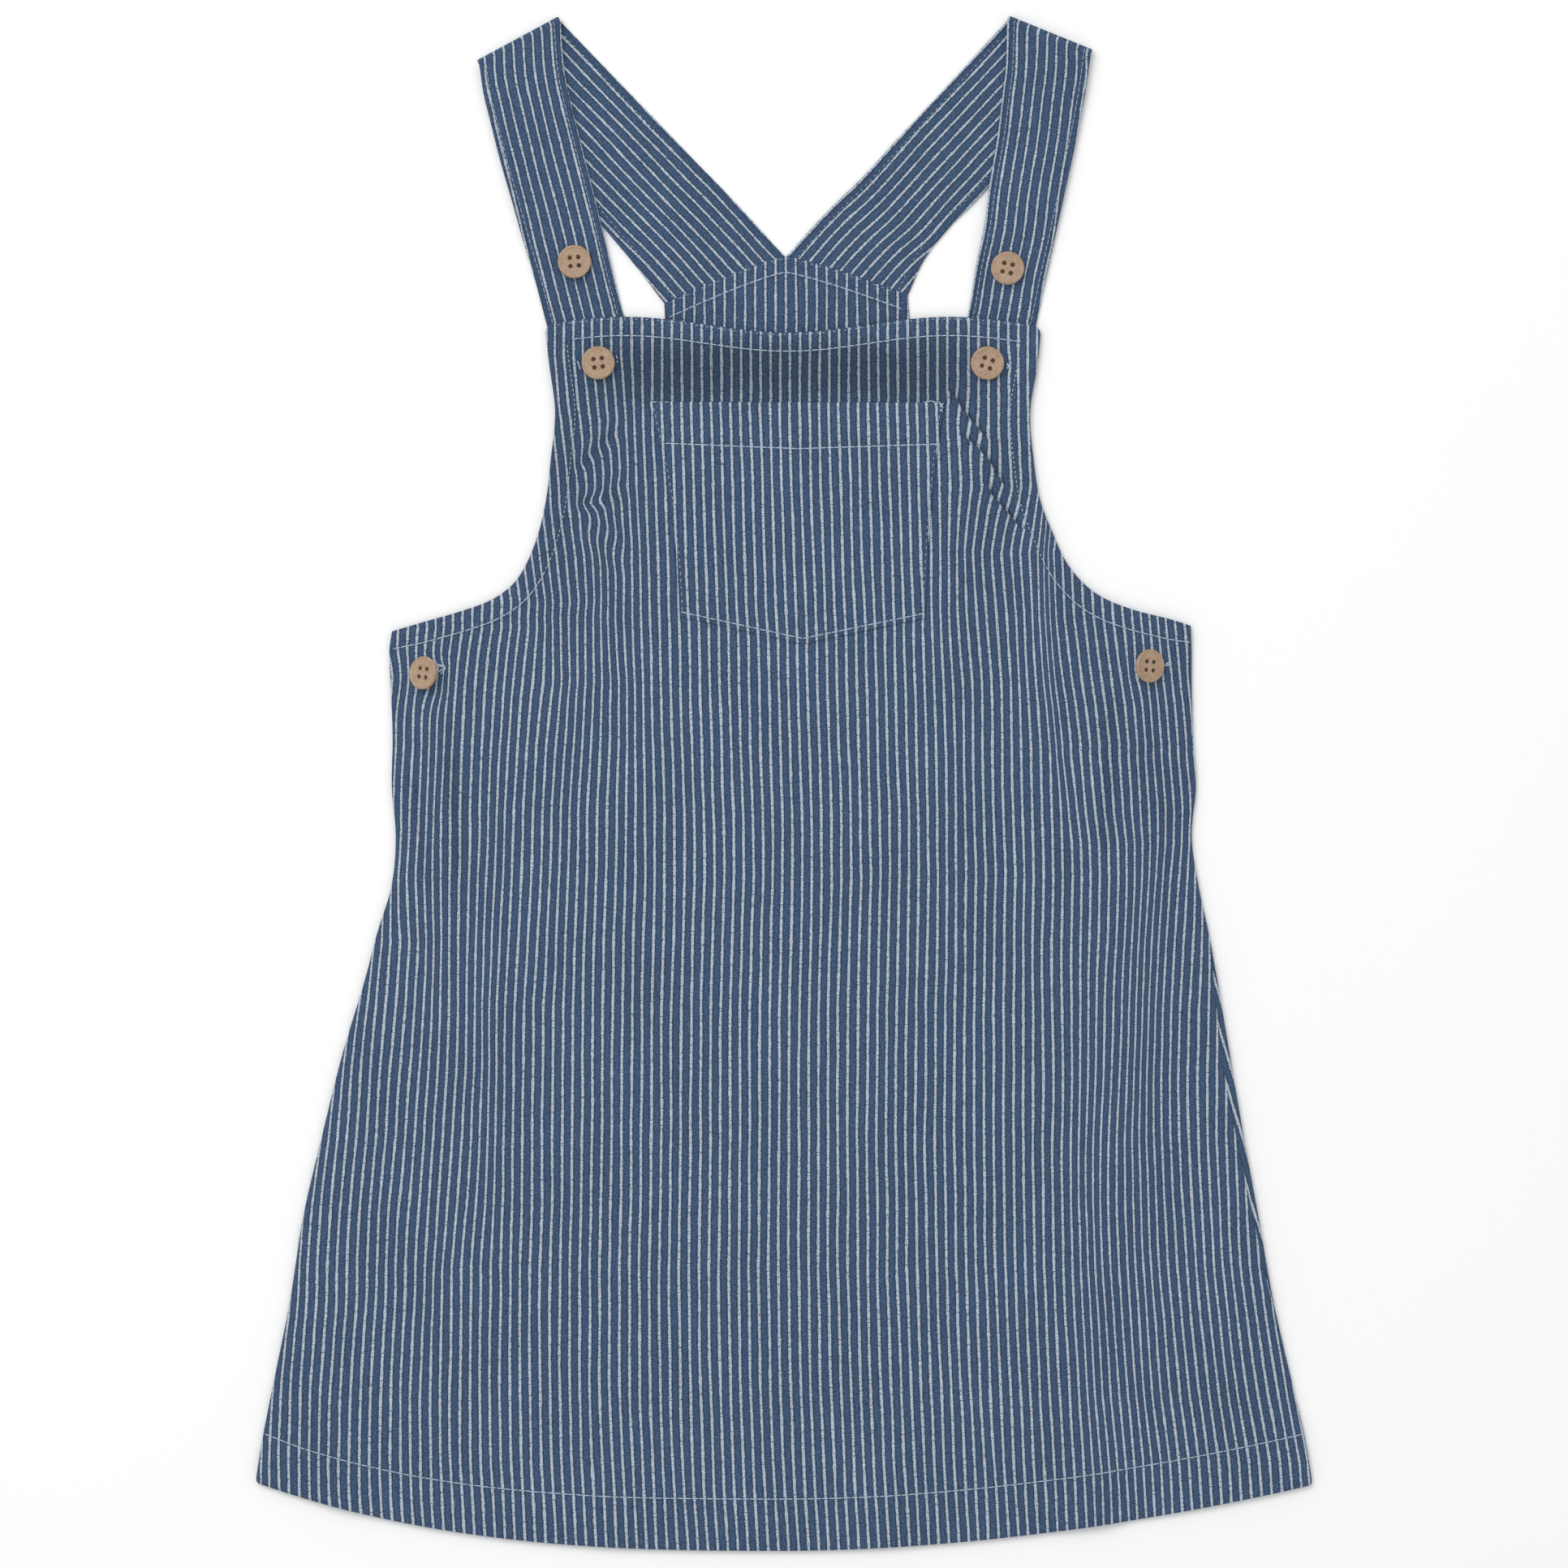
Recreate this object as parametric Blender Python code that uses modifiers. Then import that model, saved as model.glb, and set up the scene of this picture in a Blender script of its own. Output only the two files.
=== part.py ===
"""Pinafore dress in striped denim, laid flat on its back.

The dress lies on the plane Z = 0, +X across it, +Y from hem to straps, +Z up.
Outline tables are in millimetres from the middle of the dress's box.
"""

import math

import bmesh
import bpy
import numpy as np

MM = 0.001

# Cloth and the way its layers lie, in millimetres
DENIM = 1.0            # thickness of one panel
STRAP = 1.4            # thickness of a double strap
SEAM_GAP = 0.3         # space between neighbouring pieces
BACK_LEVEL = DENIM / 2                              # middle of the back's cloth
FRONT_LEVEL = BACK_LEVEL + DENIM + SEAM_GAP         # middle of the front's cloth at the side seams
STRAP_LEVEL = STRAP / 2                             # middle of a strap on the floor
LOFT_LIMIT = 3.6       # most that the front stands off the back
LEVEL_SHARPNESS = 4.0  # how suddenly a trough stops at the back panel
EDGE_ROUND = 6.0       # distance over which the front curves down to a side seam
STRAP_CLEARANCE = 0.55  # rise of the bib over the strap ends
CLEARANCE_START = 152.0  # height up the bib where that rise begins
CLEARANCE_RUN = 16.0   # distance over which it rises
FOLD_LEAD = 2.0        # half widths before a fold's end at which it begins to rise
FOLD_FADE = 3.0        # half widths over which it rises to its full height

# Front panel: a row for each section, its height at the centre and its two ends
FRONT_SECTIONS = (
    # centre_y, left_x, left_y, right_x, right_y
    (202.9, -107.6, 206.0, 115.6, 206.0),
    (188.3, -105.5, 188.3, 113.9, 188.3),
    (167.2, -102.9, 167.2, 110.6, 167.2),
    (146.4, -104.8, 146.4, 112.1, 146.4),
    (128.1, -106.9, 128.1, 115.0, 128.1),
    (113.5, -110.2, 113.5, 120.5, 113.5),
    (100.7, -115.3, 100.0, 126.7, 100.0),
    (91.6, -121.9, 89.8, 135.1, 89.8),
    (84.3, -132.1, 82.5, 144.5, 83.2),
    (78.1, -146.0, 77.4, 157.7, 78.1),
    (72.6, -161.3, 73.0, 173.0, 74.2),
    (67.9, -176.2, 68.6, 182.8, 71.2),
    (59.0, -177.4, 59.0, 183.2, 59.0),
    (42.3, -176.7, 42.3, 183.2, 42.3),
    (20.4, -175.9, 20.4, 184.0, 20.4),
    (-1.5, -176.3, -1.5, 185.1, -1.5),
    (-23.4, -174.5, -23.4, 183.2, -23.4),
    (-45.3, -176.3, -45.3, 186.2, -45.3),
    (-67.2, -182.9, -67.2, 190.9, -67.2),
    (-89.1, -188.7, -89.1, 194.9, -89.1),
    (-121.9, -198.6, -121.9, 200.4, -121.9),
    (-158.4, -207.7, -158.4, 206.6, -158.4),
    (-195.5, -216.2, -194.9, 213.3, -194.9),
    (-234.0, -221.9, -231.4, 219.7, -231.4),
    (-273.0, -229.2, -267.9, 228.0, -267.9),
    (-309.0, -234.3, -293.5, 234.0, -293.5),
    (-344.6, -237.6, -313.9, 237.6, -315.0),
)
UNDERARM_SECTION = 11   # the section that ends at both underarm corners
ROW_BEND_LEFT = 2.7     # power of the curve from a section's centre to its left end
ROW_BEND_RIGHT = 1.85   # the same to its right end

# Back panel above the underarm, where it narrows to the pointed yoke
YOKE_SECTIONS = (
    # centre_y, left_x, left_y, right_x, right_y
    (237.4, -53.8, 216.1, 55.8, 220.1),
    (213.0, -53.2, 199.3, 56.8, 199.3),
    (188.0, -54.0, 177.4, 56.8, 177.4),
    (161.0, -56.9, 153.7, 59.9, 153.7),
    (134.0, -64.2, 129.9, 67.2, 129.9),
    (112.0, -77.0, 109.9, 79.9, 109.9),
    (95.0, -95.3, 94.2, 98.2, 94.2),
    (82.0, -119.0, 81.8, 121.9, 81.8),
    (72.0, -146.4, 72.0, 150.0, 73.0),
    (62.5, -176.9, 61.7, 182.9, 64.2),
)

# Bib top: a wave with its low point near the centre
BIB_WAVE_HEIGHT = 3.5
BIB_WAVE_HALF = 73.0
BIB_WAVE_CENTRE_X = 1.5
BIB_WAVE_FADE = 26.0
BIB_CORNER_RADIUS = 4.0

# How far the front stands off the back down the dress
LOFT_ROWS = (
    # y, loft
    (206.0, 0.30),
    (150.0, 0.50),
    (90.0, 0.90),
    (30.0, 1.40),
    (-120.0, 1.30),
    (-250.0, 1.00),
    (-345.0, 0.50),
)

# Largest folds of the front: straight ridges, or troughs where the height is negative
FOLDS = (
    # x0, y0, x1, y1, half_width, height
    (-158.0, 52.0, -156.0, -30.0, 9.0, 2.4),        # left flank at the waist
    (-168.0, -50.0, -150.0, -112.0, 9.0, 1.8),      # left hip
    (-136.0, -30.0, -134.0, -205.0, 10.0, 2.2),     # left skirt
    (-182.0, -170.0, -140.0, -262.0, 11.0, 1.8),    # left skirt, lower
    (-190.0, -255.0, -200.0, -335.0, 12.0, 1.2),    # left of the hem
    (-111.0, 5.0, -111.0, -80.0, 8.0, 1.3),         # left of the centre
    (-124.0, 30.0, -122.0, -150.0, 7.0, -1.1),      # trough between them
    (-81.0, 82.0, -81.0, 5.0, 8.0, 1.0),            # below the left armhole
    (160.0, 54.0, 157.0, -20.0, 9.0, 2.4),          # right flank at the waist
    (146.0, 0.0, 158.0, -190.0, 11.0, 2.4),         # right skirt
    (172.0, -45.0, 183.0, -200.0, 7.0, -1.4),       # trough inside the right seam
    (129.0, 20.0, 133.0, -140.0, 8.0, -1.2),        # trough left of the right skirt's ridge
    (124.0, -140.0, 138.0, -335.0, 12.0, 2.3),      # right skirt, lower
    (158.0, -195.0, 160.0, -330.0, 9.0, -0.9),      # trough to its right
    (118.0, 92.0, 116.0, 25.0, 8.0, 0.9),           # below the right armhole
    (80.0, 20.0, -5.0, -200.0, 15.0, 1.0),          # slanting across the centre
    (106.0, -50.0, 40.0, -150.0, 13.0, 0.8),        # slanting beside it
    (-12.0, 50.0, -30.0, -180.0, 16.0, -0.8),       # shallow hollow left of the centre
    (60.0, -190.0, 44.0, -335.0, 14.0, 1.0),        # low on the right of the centre
    (-64.0, -200.0, -78.0, -335.0, 14.0, 1.0),      # low on the left of the centre
    (74.0, 178.0, 90.0, 148.0, 6.0, 1.1),           # crease from the pocket's corner
    (90.0, 148.0, 106.0, 116.0, 6.0, 1.2),          # the same crease to the right armhole
    (-88.0, 165.0, -80.0, 120.0, 7.0, 0.9),         # wrinkle left of the pocket
)

# Straps: sections from the yoke's edge to the fold, then from the fold to the end behind the bib
STRAP_LEFT_BACK = (
    # outer_x, outer_y, inner_x, inner_y
    (-53.8, 216.4, 0.2, 237.6),
    (-69.0, 235.8, -21.9, 261.5),
    (-83.0, 252.7, -41.3, 281.5),
    (-110.0, 288.0, -72.5, 314.2),
    (-138.0, 325.2, -101.5, 344.9),
)
STRAP_LEFT_FRONT = (
    # outer_x, outer_y, inner_x, inner_y, outer_z, inner_z
    (-138.0, 325.2, -101.5, 344.9, 3.90, 3.90),
    (-135.8, 311.7, -99.6, 323.4, 3.10, 3.10),
    (-132.1, 297.8, -96.0, 307.0, 2.60, 2.60),
    (-127.4, 279.6, -91.6, 289.4, 2.50, 2.50),
    (-121.9, 260.6, -86.5, 269.4, 2.35, 2.60),
    (-116.8, 242.4, -82.0, 251.1, 1.70, 2.60),
    (-111.3, 224.1, -77.4, 232.1, 1.15, 1.70),
    (-106.9, 207.3, -73.2, 215.4, 0.72, 0.72),
    (-101.5, 187.6, -68.0, 195.6, 0.70, 0.70),
    (-96.4, 167.5, -63.5, 175.9, 0.70, 0.70),
)
STRAP_RIGHT_BACK = (
    # outer_x, outer_y, inner_x, inner_y
    (55.8, 220.4, 1.2, 237.6),
    (63.1, 235.8, 19.5, 257.5),
    (74.5, 250.4, 36.0, 273.6),
    (92.7, 269.7, 59.5, 299.6),
    (138.7, 330.0, 101.1, 345.3),
)
STRAP_RIGHT_FRONT = (
    # outer_x, outer_y, inner_x, inner_y, outer_z, inner_z
    (138.7, 330.0, 101.1, 345.3, 3.90, 3.90),
    (136.5, 315.4, 100.4, 324.9, 3.10, 3.10),
    (133.6, 300.4, 98.2, 308.4, 2.60, 2.60),
    (129.6, 281.4, 95.6, 288.7, 2.50, 2.50),
    (125.2, 261.3, 92.3, 269.0, 2.35, 2.60),
    (121.2, 243.1, 89.8, 250.4, 1.70, 2.60),
    (117.2, 224.8, 86.1, 232.1, 1.15, 1.70),
    (113.5, 207.3, 83.2, 213.9, 0.72, 0.72),
    (108.4, 187.6, 78.8, 194.9, 0.70, 0.70),
    (103.7, 168.3, 74.5, 175.2, 0.70, 0.70),
)
FOLD_RADIUS = 1.6       # middle of the strap's cloth where it turns over
FOLD_STEPS = 6
LOWER_SHIFT_START = 0.6  # share of the strap's back after which it moves in to make room for the fold
UPPER_SHIFT_END = 0.3   # share of the strap's front by which that move is gone

# Yoke point: the edge drops from its apex by a power curve
YOKE_APEX_X = 0.6
YOKE_APEX_Y = 237.4
YOKE_HALF = 54.4
YOKE_DROP_LEFT = 21.3
YOKE_DROP_RIGHT = 17.3
YOKE_POWER = 1.2
YOKE_BLEND = 0.25       # share of the strap over which its end follows the yoke

# Pocket
POCKET_TOP_LEFT = (-60.6, 171.6)
POCKET_TOP_RIGHT = (71.9, 171.2)
POCKET_LOW_LEFT = (-46.7, 75.2)
POCKET_LOW_RIGHT = (63.5, 74.5)
POCKET_WAIST = 3.0      # how far its sides curve in
POCKET_POINT_DROP = 12.0
POCKET_MOUTH_LIFT = 0.5
POCKET_CORNER_LIFT = 0.7
POCKET_CORNER_POWER = 8
POCKET_MOUTH_DEPTH = 22.0

# Buttons: radius and height down the outer side, top centre to bottom centre
FOOT_RADII = (5.8, 6.8, 7.5)      # radii up the underside of the rim
FOOT_HEIGHTS = (0.0, 0.4, 1.7)    # and the underside's height at each
BUTTON_PROFILE = (
    # radius, height
    (0.0, 2.0),
    (4.9, 2.0),
    (5.8, 2.8),
    (6.5, 3.1),
    (7.2, 2.6),
    (7.5, 1.7),
    (6.8, 0.4),
    (5.8, 0.0),
    (0.0, 0.0),
)
BUTTON_STEPS = 28
HOLE_RADIUS = 0.85
HOLE_OFFSET = 1.9
HOLE_SIDES = 10
CUTTER_HEIGHT = 8.0
BUTTONS = (
    # name, x, y, spin_degrees, tilt_degrees
    ("button_strap_left", -94.1, 234.5, 5.0, 0.0),
    ("button_strap_right", 100.4, 231.6, -12.0, 0.0),
    ("button_bib_left", -83.4, 189.0, 7.0, 0.0),
    ("button_bib_right", 91.3, 188.9, -20.0, 0.0),
    ("button_side_left", -160.7, 49.8, -8.0, -34.0),
    ("button_side_right", 163.1, 52.9, -5.0, 30.0),
)

# Mesh density
FRONT_COLUMNS = 46
FRONT_ROWS_ABOVE = 19
FRONT_ROWS_BELOW = 26
SAMPLES_PER_FACET = 8   # points read along a facet to seat a button
BACK_COLUMNS = 24
BACK_ROWS_ABOVE = 14
BACK_ROWS_BELOW = 18
STRAP_COLUMNS = 5
STRAP_BACK_ROWS = 14
STRAP_FRONT_ROWS = 22
POCKET_COLUMNS = 12
POCKET_ROWS = 10
SIDE_CROWDING = 0.06    # share by which columns crowd towards the side seams
TABLE_SAMPLES = 60      # places read between two rows of a table to space sections evenly
SIDE_SAMPLES = 160      # places read down a side edge
MERGE_DISTANCE = 0.01

# Colours and finish
DENIM_COLOUR = (0.101, 0.158, 0.235, 1.0)
BUTTON_COLOUR = (0.33, 0.23, 0.165, 1.0)
DENIM_ROUGHNESS = 0.9
BUTTON_ROUGHNESS = 0.5


def clear_scene():
    """Remove whatever the scene holds."""
    for old in list(bpy.data.objects):
        bpy.data.objects.remove(old, do_unlink=True)


def new_collection(name):
    """Return a new collection linked to the scene."""
    collection = bpy.data.collections.new(name)
    bpy.context.scene.collection.children.link(collection)
    return collection


def new_material(name, colour, roughness):
    """Return a Principled BSDF material."""
    material = bpy.data.materials.new(name)
    material.use_nodes = True
    shader = material.node_tree.nodes["Principled BSDF"]
    shader.inputs["Base Color"].default_value = colour
    shader.inputs["Roughness"].default_value = roughness
    shader.inputs["Metallic"].default_value = 0.0
    return material


def smoothstep(t):
    """Return 0 to 1 with level ends as t goes from 0 to 1."""
    t = np.clip(t, 0.0, 1.0)
    return t * t * (3.0 - 2.0 * t)


def along(rows, t):
    """Return smooth values of a table at fractional row numbers t."""
    table = np.array(rows, dtype=float)
    last = len(table) - 1
    padded = np.vstack([2 * table[0] - table[1], table, 2 * table[last] - table[last - 1]])
    t = np.clip(np.asarray(t, dtype=float), 0.0, last)
    k = np.minimum(t.astype(int), last - 1)
    f = (t - k)[..., None]
    p0, p1, p2, p3 = padded[k], padded[k + 1], padded[k + 2], padded[k + 3]
    bend = 2 * p0 - 5 * p1 + 4 * p2 - p3
    twist = 3 * (p1 - p2) + p3 - p0
    return p1 + 0.5 * f * ((p2 - p0) + f * (bend + f * twist))


def even_rows(rows, count):
    """Return fractional row numbers that space the sections evenly down both sides and the centre."""
    fine = np.linspace(0.0, len(rows) - 1, TABLE_SAMPLES * len(rows))
    values = along(rows, fine)
    centre = np.abs(np.diff(values[:, 0]))
    left = np.hypot(np.diff(values[:, 1]), np.diff(values[:, 2]))
    right = np.hypot(np.diff(values[:, 3]), np.diff(values[:, 4]))
    travelled = np.concatenate([[0.0], np.cumsum(centre + left + right)])
    return np.interp(np.linspace(0.0, travelled[-1], count + 1), travelled, fine)


def panel_sections(above, below, count_above, count_below):
    """Return the sections of a panel, from its top edge past the underarm to the hem."""
    top = along(above, even_rows(above, count_above))
    foot = along(below, even_rows(below, count_below))
    return np.vstack([top, foot[1:]])


def section_points(sections, columns):
    """Return x and y of a panel's points, a row for each section."""
    s = np.linspace(0.0, 1.0, columns + 1)
    u = s - SIDE_CROWDING * np.sin(2 * np.pi * s)
    centre_y, left_x, left_y, right_x, right_y = (sections[:, k, None] for k in range(5))
    x = left_x + (right_x - left_x) * u
    end_y = np.where(u < 0.5, left_y, right_y)
    bend = np.where(u < 0.5, ROW_BEND_LEFT, ROW_BEND_RIGHT)
    y = centre_y + (end_y - centre_y) * np.abs(2 * u - 1) ** bend
    return x, y


def rounded_corner(a, b, radius):
    """Return distances a and b from two edges, moved so that their corner is round."""
    ra = np.clip(1 - a / radius, 0.0, 1.0)
    rb = np.clip(1 - b / radius, 0.0, 1.0)
    new_a = a + radius * ra * (1 - np.sqrt(1 - rb * rb / 2))
    new_b = b + radius * rb * (1 - np.sqrt(1 - ra * ra / 2))
    return new_a, new_b


def front_outline_points():
    """Return x and y of the front panel's points."""
    sections = panel_sections(
        FRONT_SECTIONS[:UNDERARM_SECTION + 1], FRONT_SECTIONS[UNDERARM_SECTION:],
        FRONT_ROWS_ABOVE, FRONT_ROWS_BELOW)
    x, y = section_points(sections, FRONT_COLUMNS)
    wave = BIB_WAVE_HEIGHT * (1 - np.cos(np.pi * (x - BIB_WAVE_CENTRE_X) / BIB_WAVE_HALF))
    target = FRONT_SECTIONS[0][0] + wave
    below_top = y[0] - y
    y = y + (target - y[0]) * np.clip(1 - below_top / BIB_WAVE_FADE, 0.0, 1.0) ** 2
    below_top = y[0] - y
    for side in (0, -1):
        inward = np.abs(x - x[:, side, None])
        moved, dropped = rounded_corner(inward, below_top, BIB_CORNER_RADIUS)
        x = x + np.sign(x[:, 1 if side == 0 else -2, None] - x[:, side, None]) * (moved - inward)
        y = y - (dropped - below_top)
    return x, y


def side_distance(x, y):
    """Return the distance from points to the front's nearer side edge, armholes included."""
    fine = np.linspace(0.0, len(FRONT_SECTIONS) - 1, SIDE_SAMPLES)
    edge = along(FRONT_SECTIONS, fine)
    ends = np.vstack([edge[:, 1:3], edge[:, 3:5]])
    flat_x, flat_y = np.ravel(x), np.ravel(y)
    gap = np.hypot(flat_x[:, None] - ends[None, :, 0], flat_y[:, None] - ends[None, :, 1])
    return gap.min(axis=1).reshape(np.shape(x))


def fold_height(x, y):
    """Return the summed height of the named folds at points."""
    total = np.zeros(np.shape(x))
    for x0, y0, x1, y1, half_width, height in FOLDS:
        length = math.hypot(x1 - x0, y1 - y0)
        run_x, run_y = (x1 - x0) / length, (y1 - y0) / length
        forward = (x - x0) * run_x + (y - y0) * run_y
        across = (y - y0) * run_x - (x - x0) * run_y
        fade = smoothstep((forward / half_width + FOLD_LEAD) / FOLD_FADE)
        fade *= smoothstep(((length - forward) / half_width + FOLD_LEAD) / FOLD_FADE)
        total += height * fade * np.exp(-(across / half_width) ** 2)
    return total


def front_level(x, y):
    """Return the height of the middle of the front's cloth above the floor."""
    loft_y, loft = np.array(LOFT_ROWS)[::-1].T
    rise = np.interp(y, loft_y, loft) + fold_height(x, y)
    rise = LOFT_LIMIT * np.tanh(np.log1p(np.exp(LEVEL_SHARPNESS * rise)) / LEVEL_SHARPNESS / LOFT_LIMIT)
    over_straps = STRAP_CLEARANCE * smoothstep((y - CLEARANCE_START) / CLEARANCE_RUN)
    return FRONT_LEVEL + rise * (1 - np.exp(-side_distance(x, y) / EDGE_ROUND)) + over_straps


def yoke_edge(x):
    """Return y of the yoke's pointed edge at x."""
    share = np.clip(np.abs(x - YOKE_APEX_X) / YOKE_HALF, 0.0, 1.0)
    drop = np.where(x < YOKE_APEX_X, YOKE_DROP_LEFT, YOKE_DROP_RIGHT)
    return YOKE_APEX_Y - drop * share ** YOKE_POWER


def back_outline_points():
    """Return x and y of the back panel's points."""
    foot = ((YOKE_SECTIONS[-1],) + FRONT_SECTIONS[UNDERARM_SECTION + 2:])
    sections = panel_sections(YOKE_SECTIONS, foot, BACK_ROWS_ABOVE, BACK_ROWS_BELOW)
    x, y = section_points(sections, BACK_COLUMNS)
    below_top = y[0] - y
    y = y + (yoke_edge(x) - y[0]) * np.clip(1 - below_top / BIB_WAVE_FADE, 0.0, 1.0) ** 2
    return x, y


def strap_points(back_rows, front_rows):
    """Return x, y and z of a strap's middle, from the yoke round the fold to the hidden end."""
    across = np.linspace(0.0, 1.0, STRAP_COLUMNS + 1)
    back = along(back_rows, np.linspace(0.0, len(back_rows) - 1, STRAP_BACK_ROWS + 1))
    front = along(front_rows, np.linspace(0.0, len(front_rows) - 1, STRAP_FRONT_ROWS + 1))
    fold_run = np.array([back[-1, 2] - back[-1, 0], back[-1, 3] - back[-1, 1]])
    fold_run /= np.linalg.norm(fold_run)
    inward = np.array([fold_run[1], -fold_run[0]])
    if inward[1] > 0:
        inward = -inward
    reach = FOLD_RADIUS + STRAP / 2

    def lay(rows, level):
        x = rows[:, 0, None] + (rows[:, 2] - rows[:, 0])[:, None] * across
        y = rows[:, 1, None] + (rows[:, 3] - rows[:, 1])[:, None] * across
        return np.stack([x, y, np.broadcast_to(level, x.shape)], axis=-1)

    lower = lay(back, STRAP_LEVEL)
    share = np.linspace(0.0, 1.0, STRAP_BACK_ROWS + 1)[:, None]
    end_fit = yoke_edge(lower[0, :, 0]) + SEAM_GAP - lower[0, :, 1]
    lower[..., 1] += end_fit * (1 - smoothstep(share / YOKE_BLEND))
    move = smoothstep((share[..., None] - LOWER_SHIFT_START) / (1 - LOWER_SHIFT_START))
    lower[..., :2] += inward * reach * move
    front_z = front[:, 4, None] + (front[:, 5] - front[:, 4])[:, None] * across
    upper = lay(front, front_z)
    share = np.linspace(0.0, 1.0, STRAP_FRONT_ROWS + 1)[:, None, None]
    upper[..., :2] += inward * reach * (1 - smoothstep(share / UPPER_SHIFT_END))
    turn = np.linspace(0.0, math.pi, FOLD_STEPS + 1)[1:-1]
    bend = []
    for angle in turn:
        ring = lower[-1].copy()
        ring[:, :2] -= inward * FOLD_RADIUS * math.sin(angle)
        ring[:, 2] += FOLD_RADIUS * (1 - math.cos(angle))
        bend.append(ring)
    return np.concatenate([lower, np.array(bend), upper])


def pocket_points():
    """Return x, y and z of the pocket's middle, made from the front's points and moved out."""
    u = np.linspace(0.0, 1.0, POCKET_COLUMNS + 1)[None, :]
    v = np.linspace(0.0, 1.0, POCKET_ROWS + 1)[:, None]
    pull = POCKET_WAIST * np.sin(np.pi * v)
    left_x = POCKET_TOP_LEFT[0] + (POCKET_LOW_LEFT[0] - POCKET_TOP_LEFT[0]) * v + pull
    right_x = POCKET_TOP_RIGHT[0] + (POCKET_LOW_RIGHT[0] - POCKET_TOP_RIGHT[0]) * v - pull / 2
    x = left_x + (right_x - left_x) * u
    top_y = POCKET_TOP_LEFT[1] + (POCKET_TOP_RIGHT[1] - POCKET_TOP_LEFT[1]) * u
    low_y = POCKET_LOW_LEFT[1] + (POCKET_LOW_RIGHT[1] - POCKET_LOW_LEFT[1]) * u
    low_y = low_y - POCKET_POINT_DROP * (1 - np.abs(2 * u - 1))
    y = top_y + (low_y - top_y) * v
    mouth = np.clip(1 - (top_y - y) / POCKET_MOUTH_DEPTH, 0.0, 1.0) ** 2
    lift = POCKET_MOUTH_LIFT * mouth * np.sin(np.pi * u)
    lift = lift + POCKET_CORNER_LIFT * mouth * u ** POCKET_CORNER_POWER
    z = front_level(x, y) + DENIM + SEAM_GAP + lift
    return np.stack([x, y, z], axis=-1)


def cloth_object(name, points, thickness, collection):
    """Return a closed sheet of cloth whose middle passes through a grid of points."""
    rows, columns = points.shape[:2]
    bm = bmesh.new()
    bmesh.ops.create_grid(bm, x_segments=columns - 1, y_segments=rows - 1, size=1.0)
    for vert in bm.verts:
        column = round((vert.co.x + 1) / 2 * (columns - 1))
        row = round((1 - vert.co.y) / 2 * (rows - 1))
        vert.co = points[row, column] * MM
    mesh = bpy.data.meshes.new(name)
    bm.to_mesh(mesh)
    bm.free()
    cloth = bpy.data.objects.new(name, mesh)
    collection.objects.link(cloth)
    wall = cloth.modifiers.new("wall", "SOLIDIFY")
    wall.thickness = thickness * MM
    wall.offset = 0.0
    wall.use_even_offset = True
    mesh.materials.append(new_material(name + "_denim", DENIM_COLOUR, DENIM_ROUGHNESS))
    return cloth


def refined(points):
    """Return a finer grid of points on the facets between a grid's points."""
    for axis in (0, 1):
        count = points.shape[axis]
        place = np.linspace(0.0, count - 1, (count - 1) * SAMPLES_PER_FACET + 1)
        k = np.minimum(place.astype(int), count - 2)
        share = (place - k).reshape((-1, 1, 1) if axis == 0 else (1, -1, 1))
        points = points.take(k, axis) * (1 - share) + points.take(k + 1, axis) * share
    return points


def rest_height(surfaces, x, y, spin, tilt):
    """Return the height at which a tilted button just clears the cloth under it."""
    needed = 0.0
    for points, thickness in surfaces:
        from_x, from_y = points[..., 0] - x, points[..., 1] - y
        downhill = from_x * math.cos(spin) + from_y * math.sin(spin)
        sideways = from_y * math.cos(spin) - from_x * math.sin(spin)
        radius = np.hypot(downhill / math.cos(tilt), sideways)
        under = radius < FOOT_RADII[-1]
        if under.any():
            foot = np.interp(radius[under], FOOT_RADII, FOOT_HEIGHTS) / math.cos(tilt)
            top = points[under][:, 2] + thickness / 2
            needed = max(needed, (top + math.tan(tilt) * downhill[under] - foot).max())
    return needed + SEAM_GAP


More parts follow.
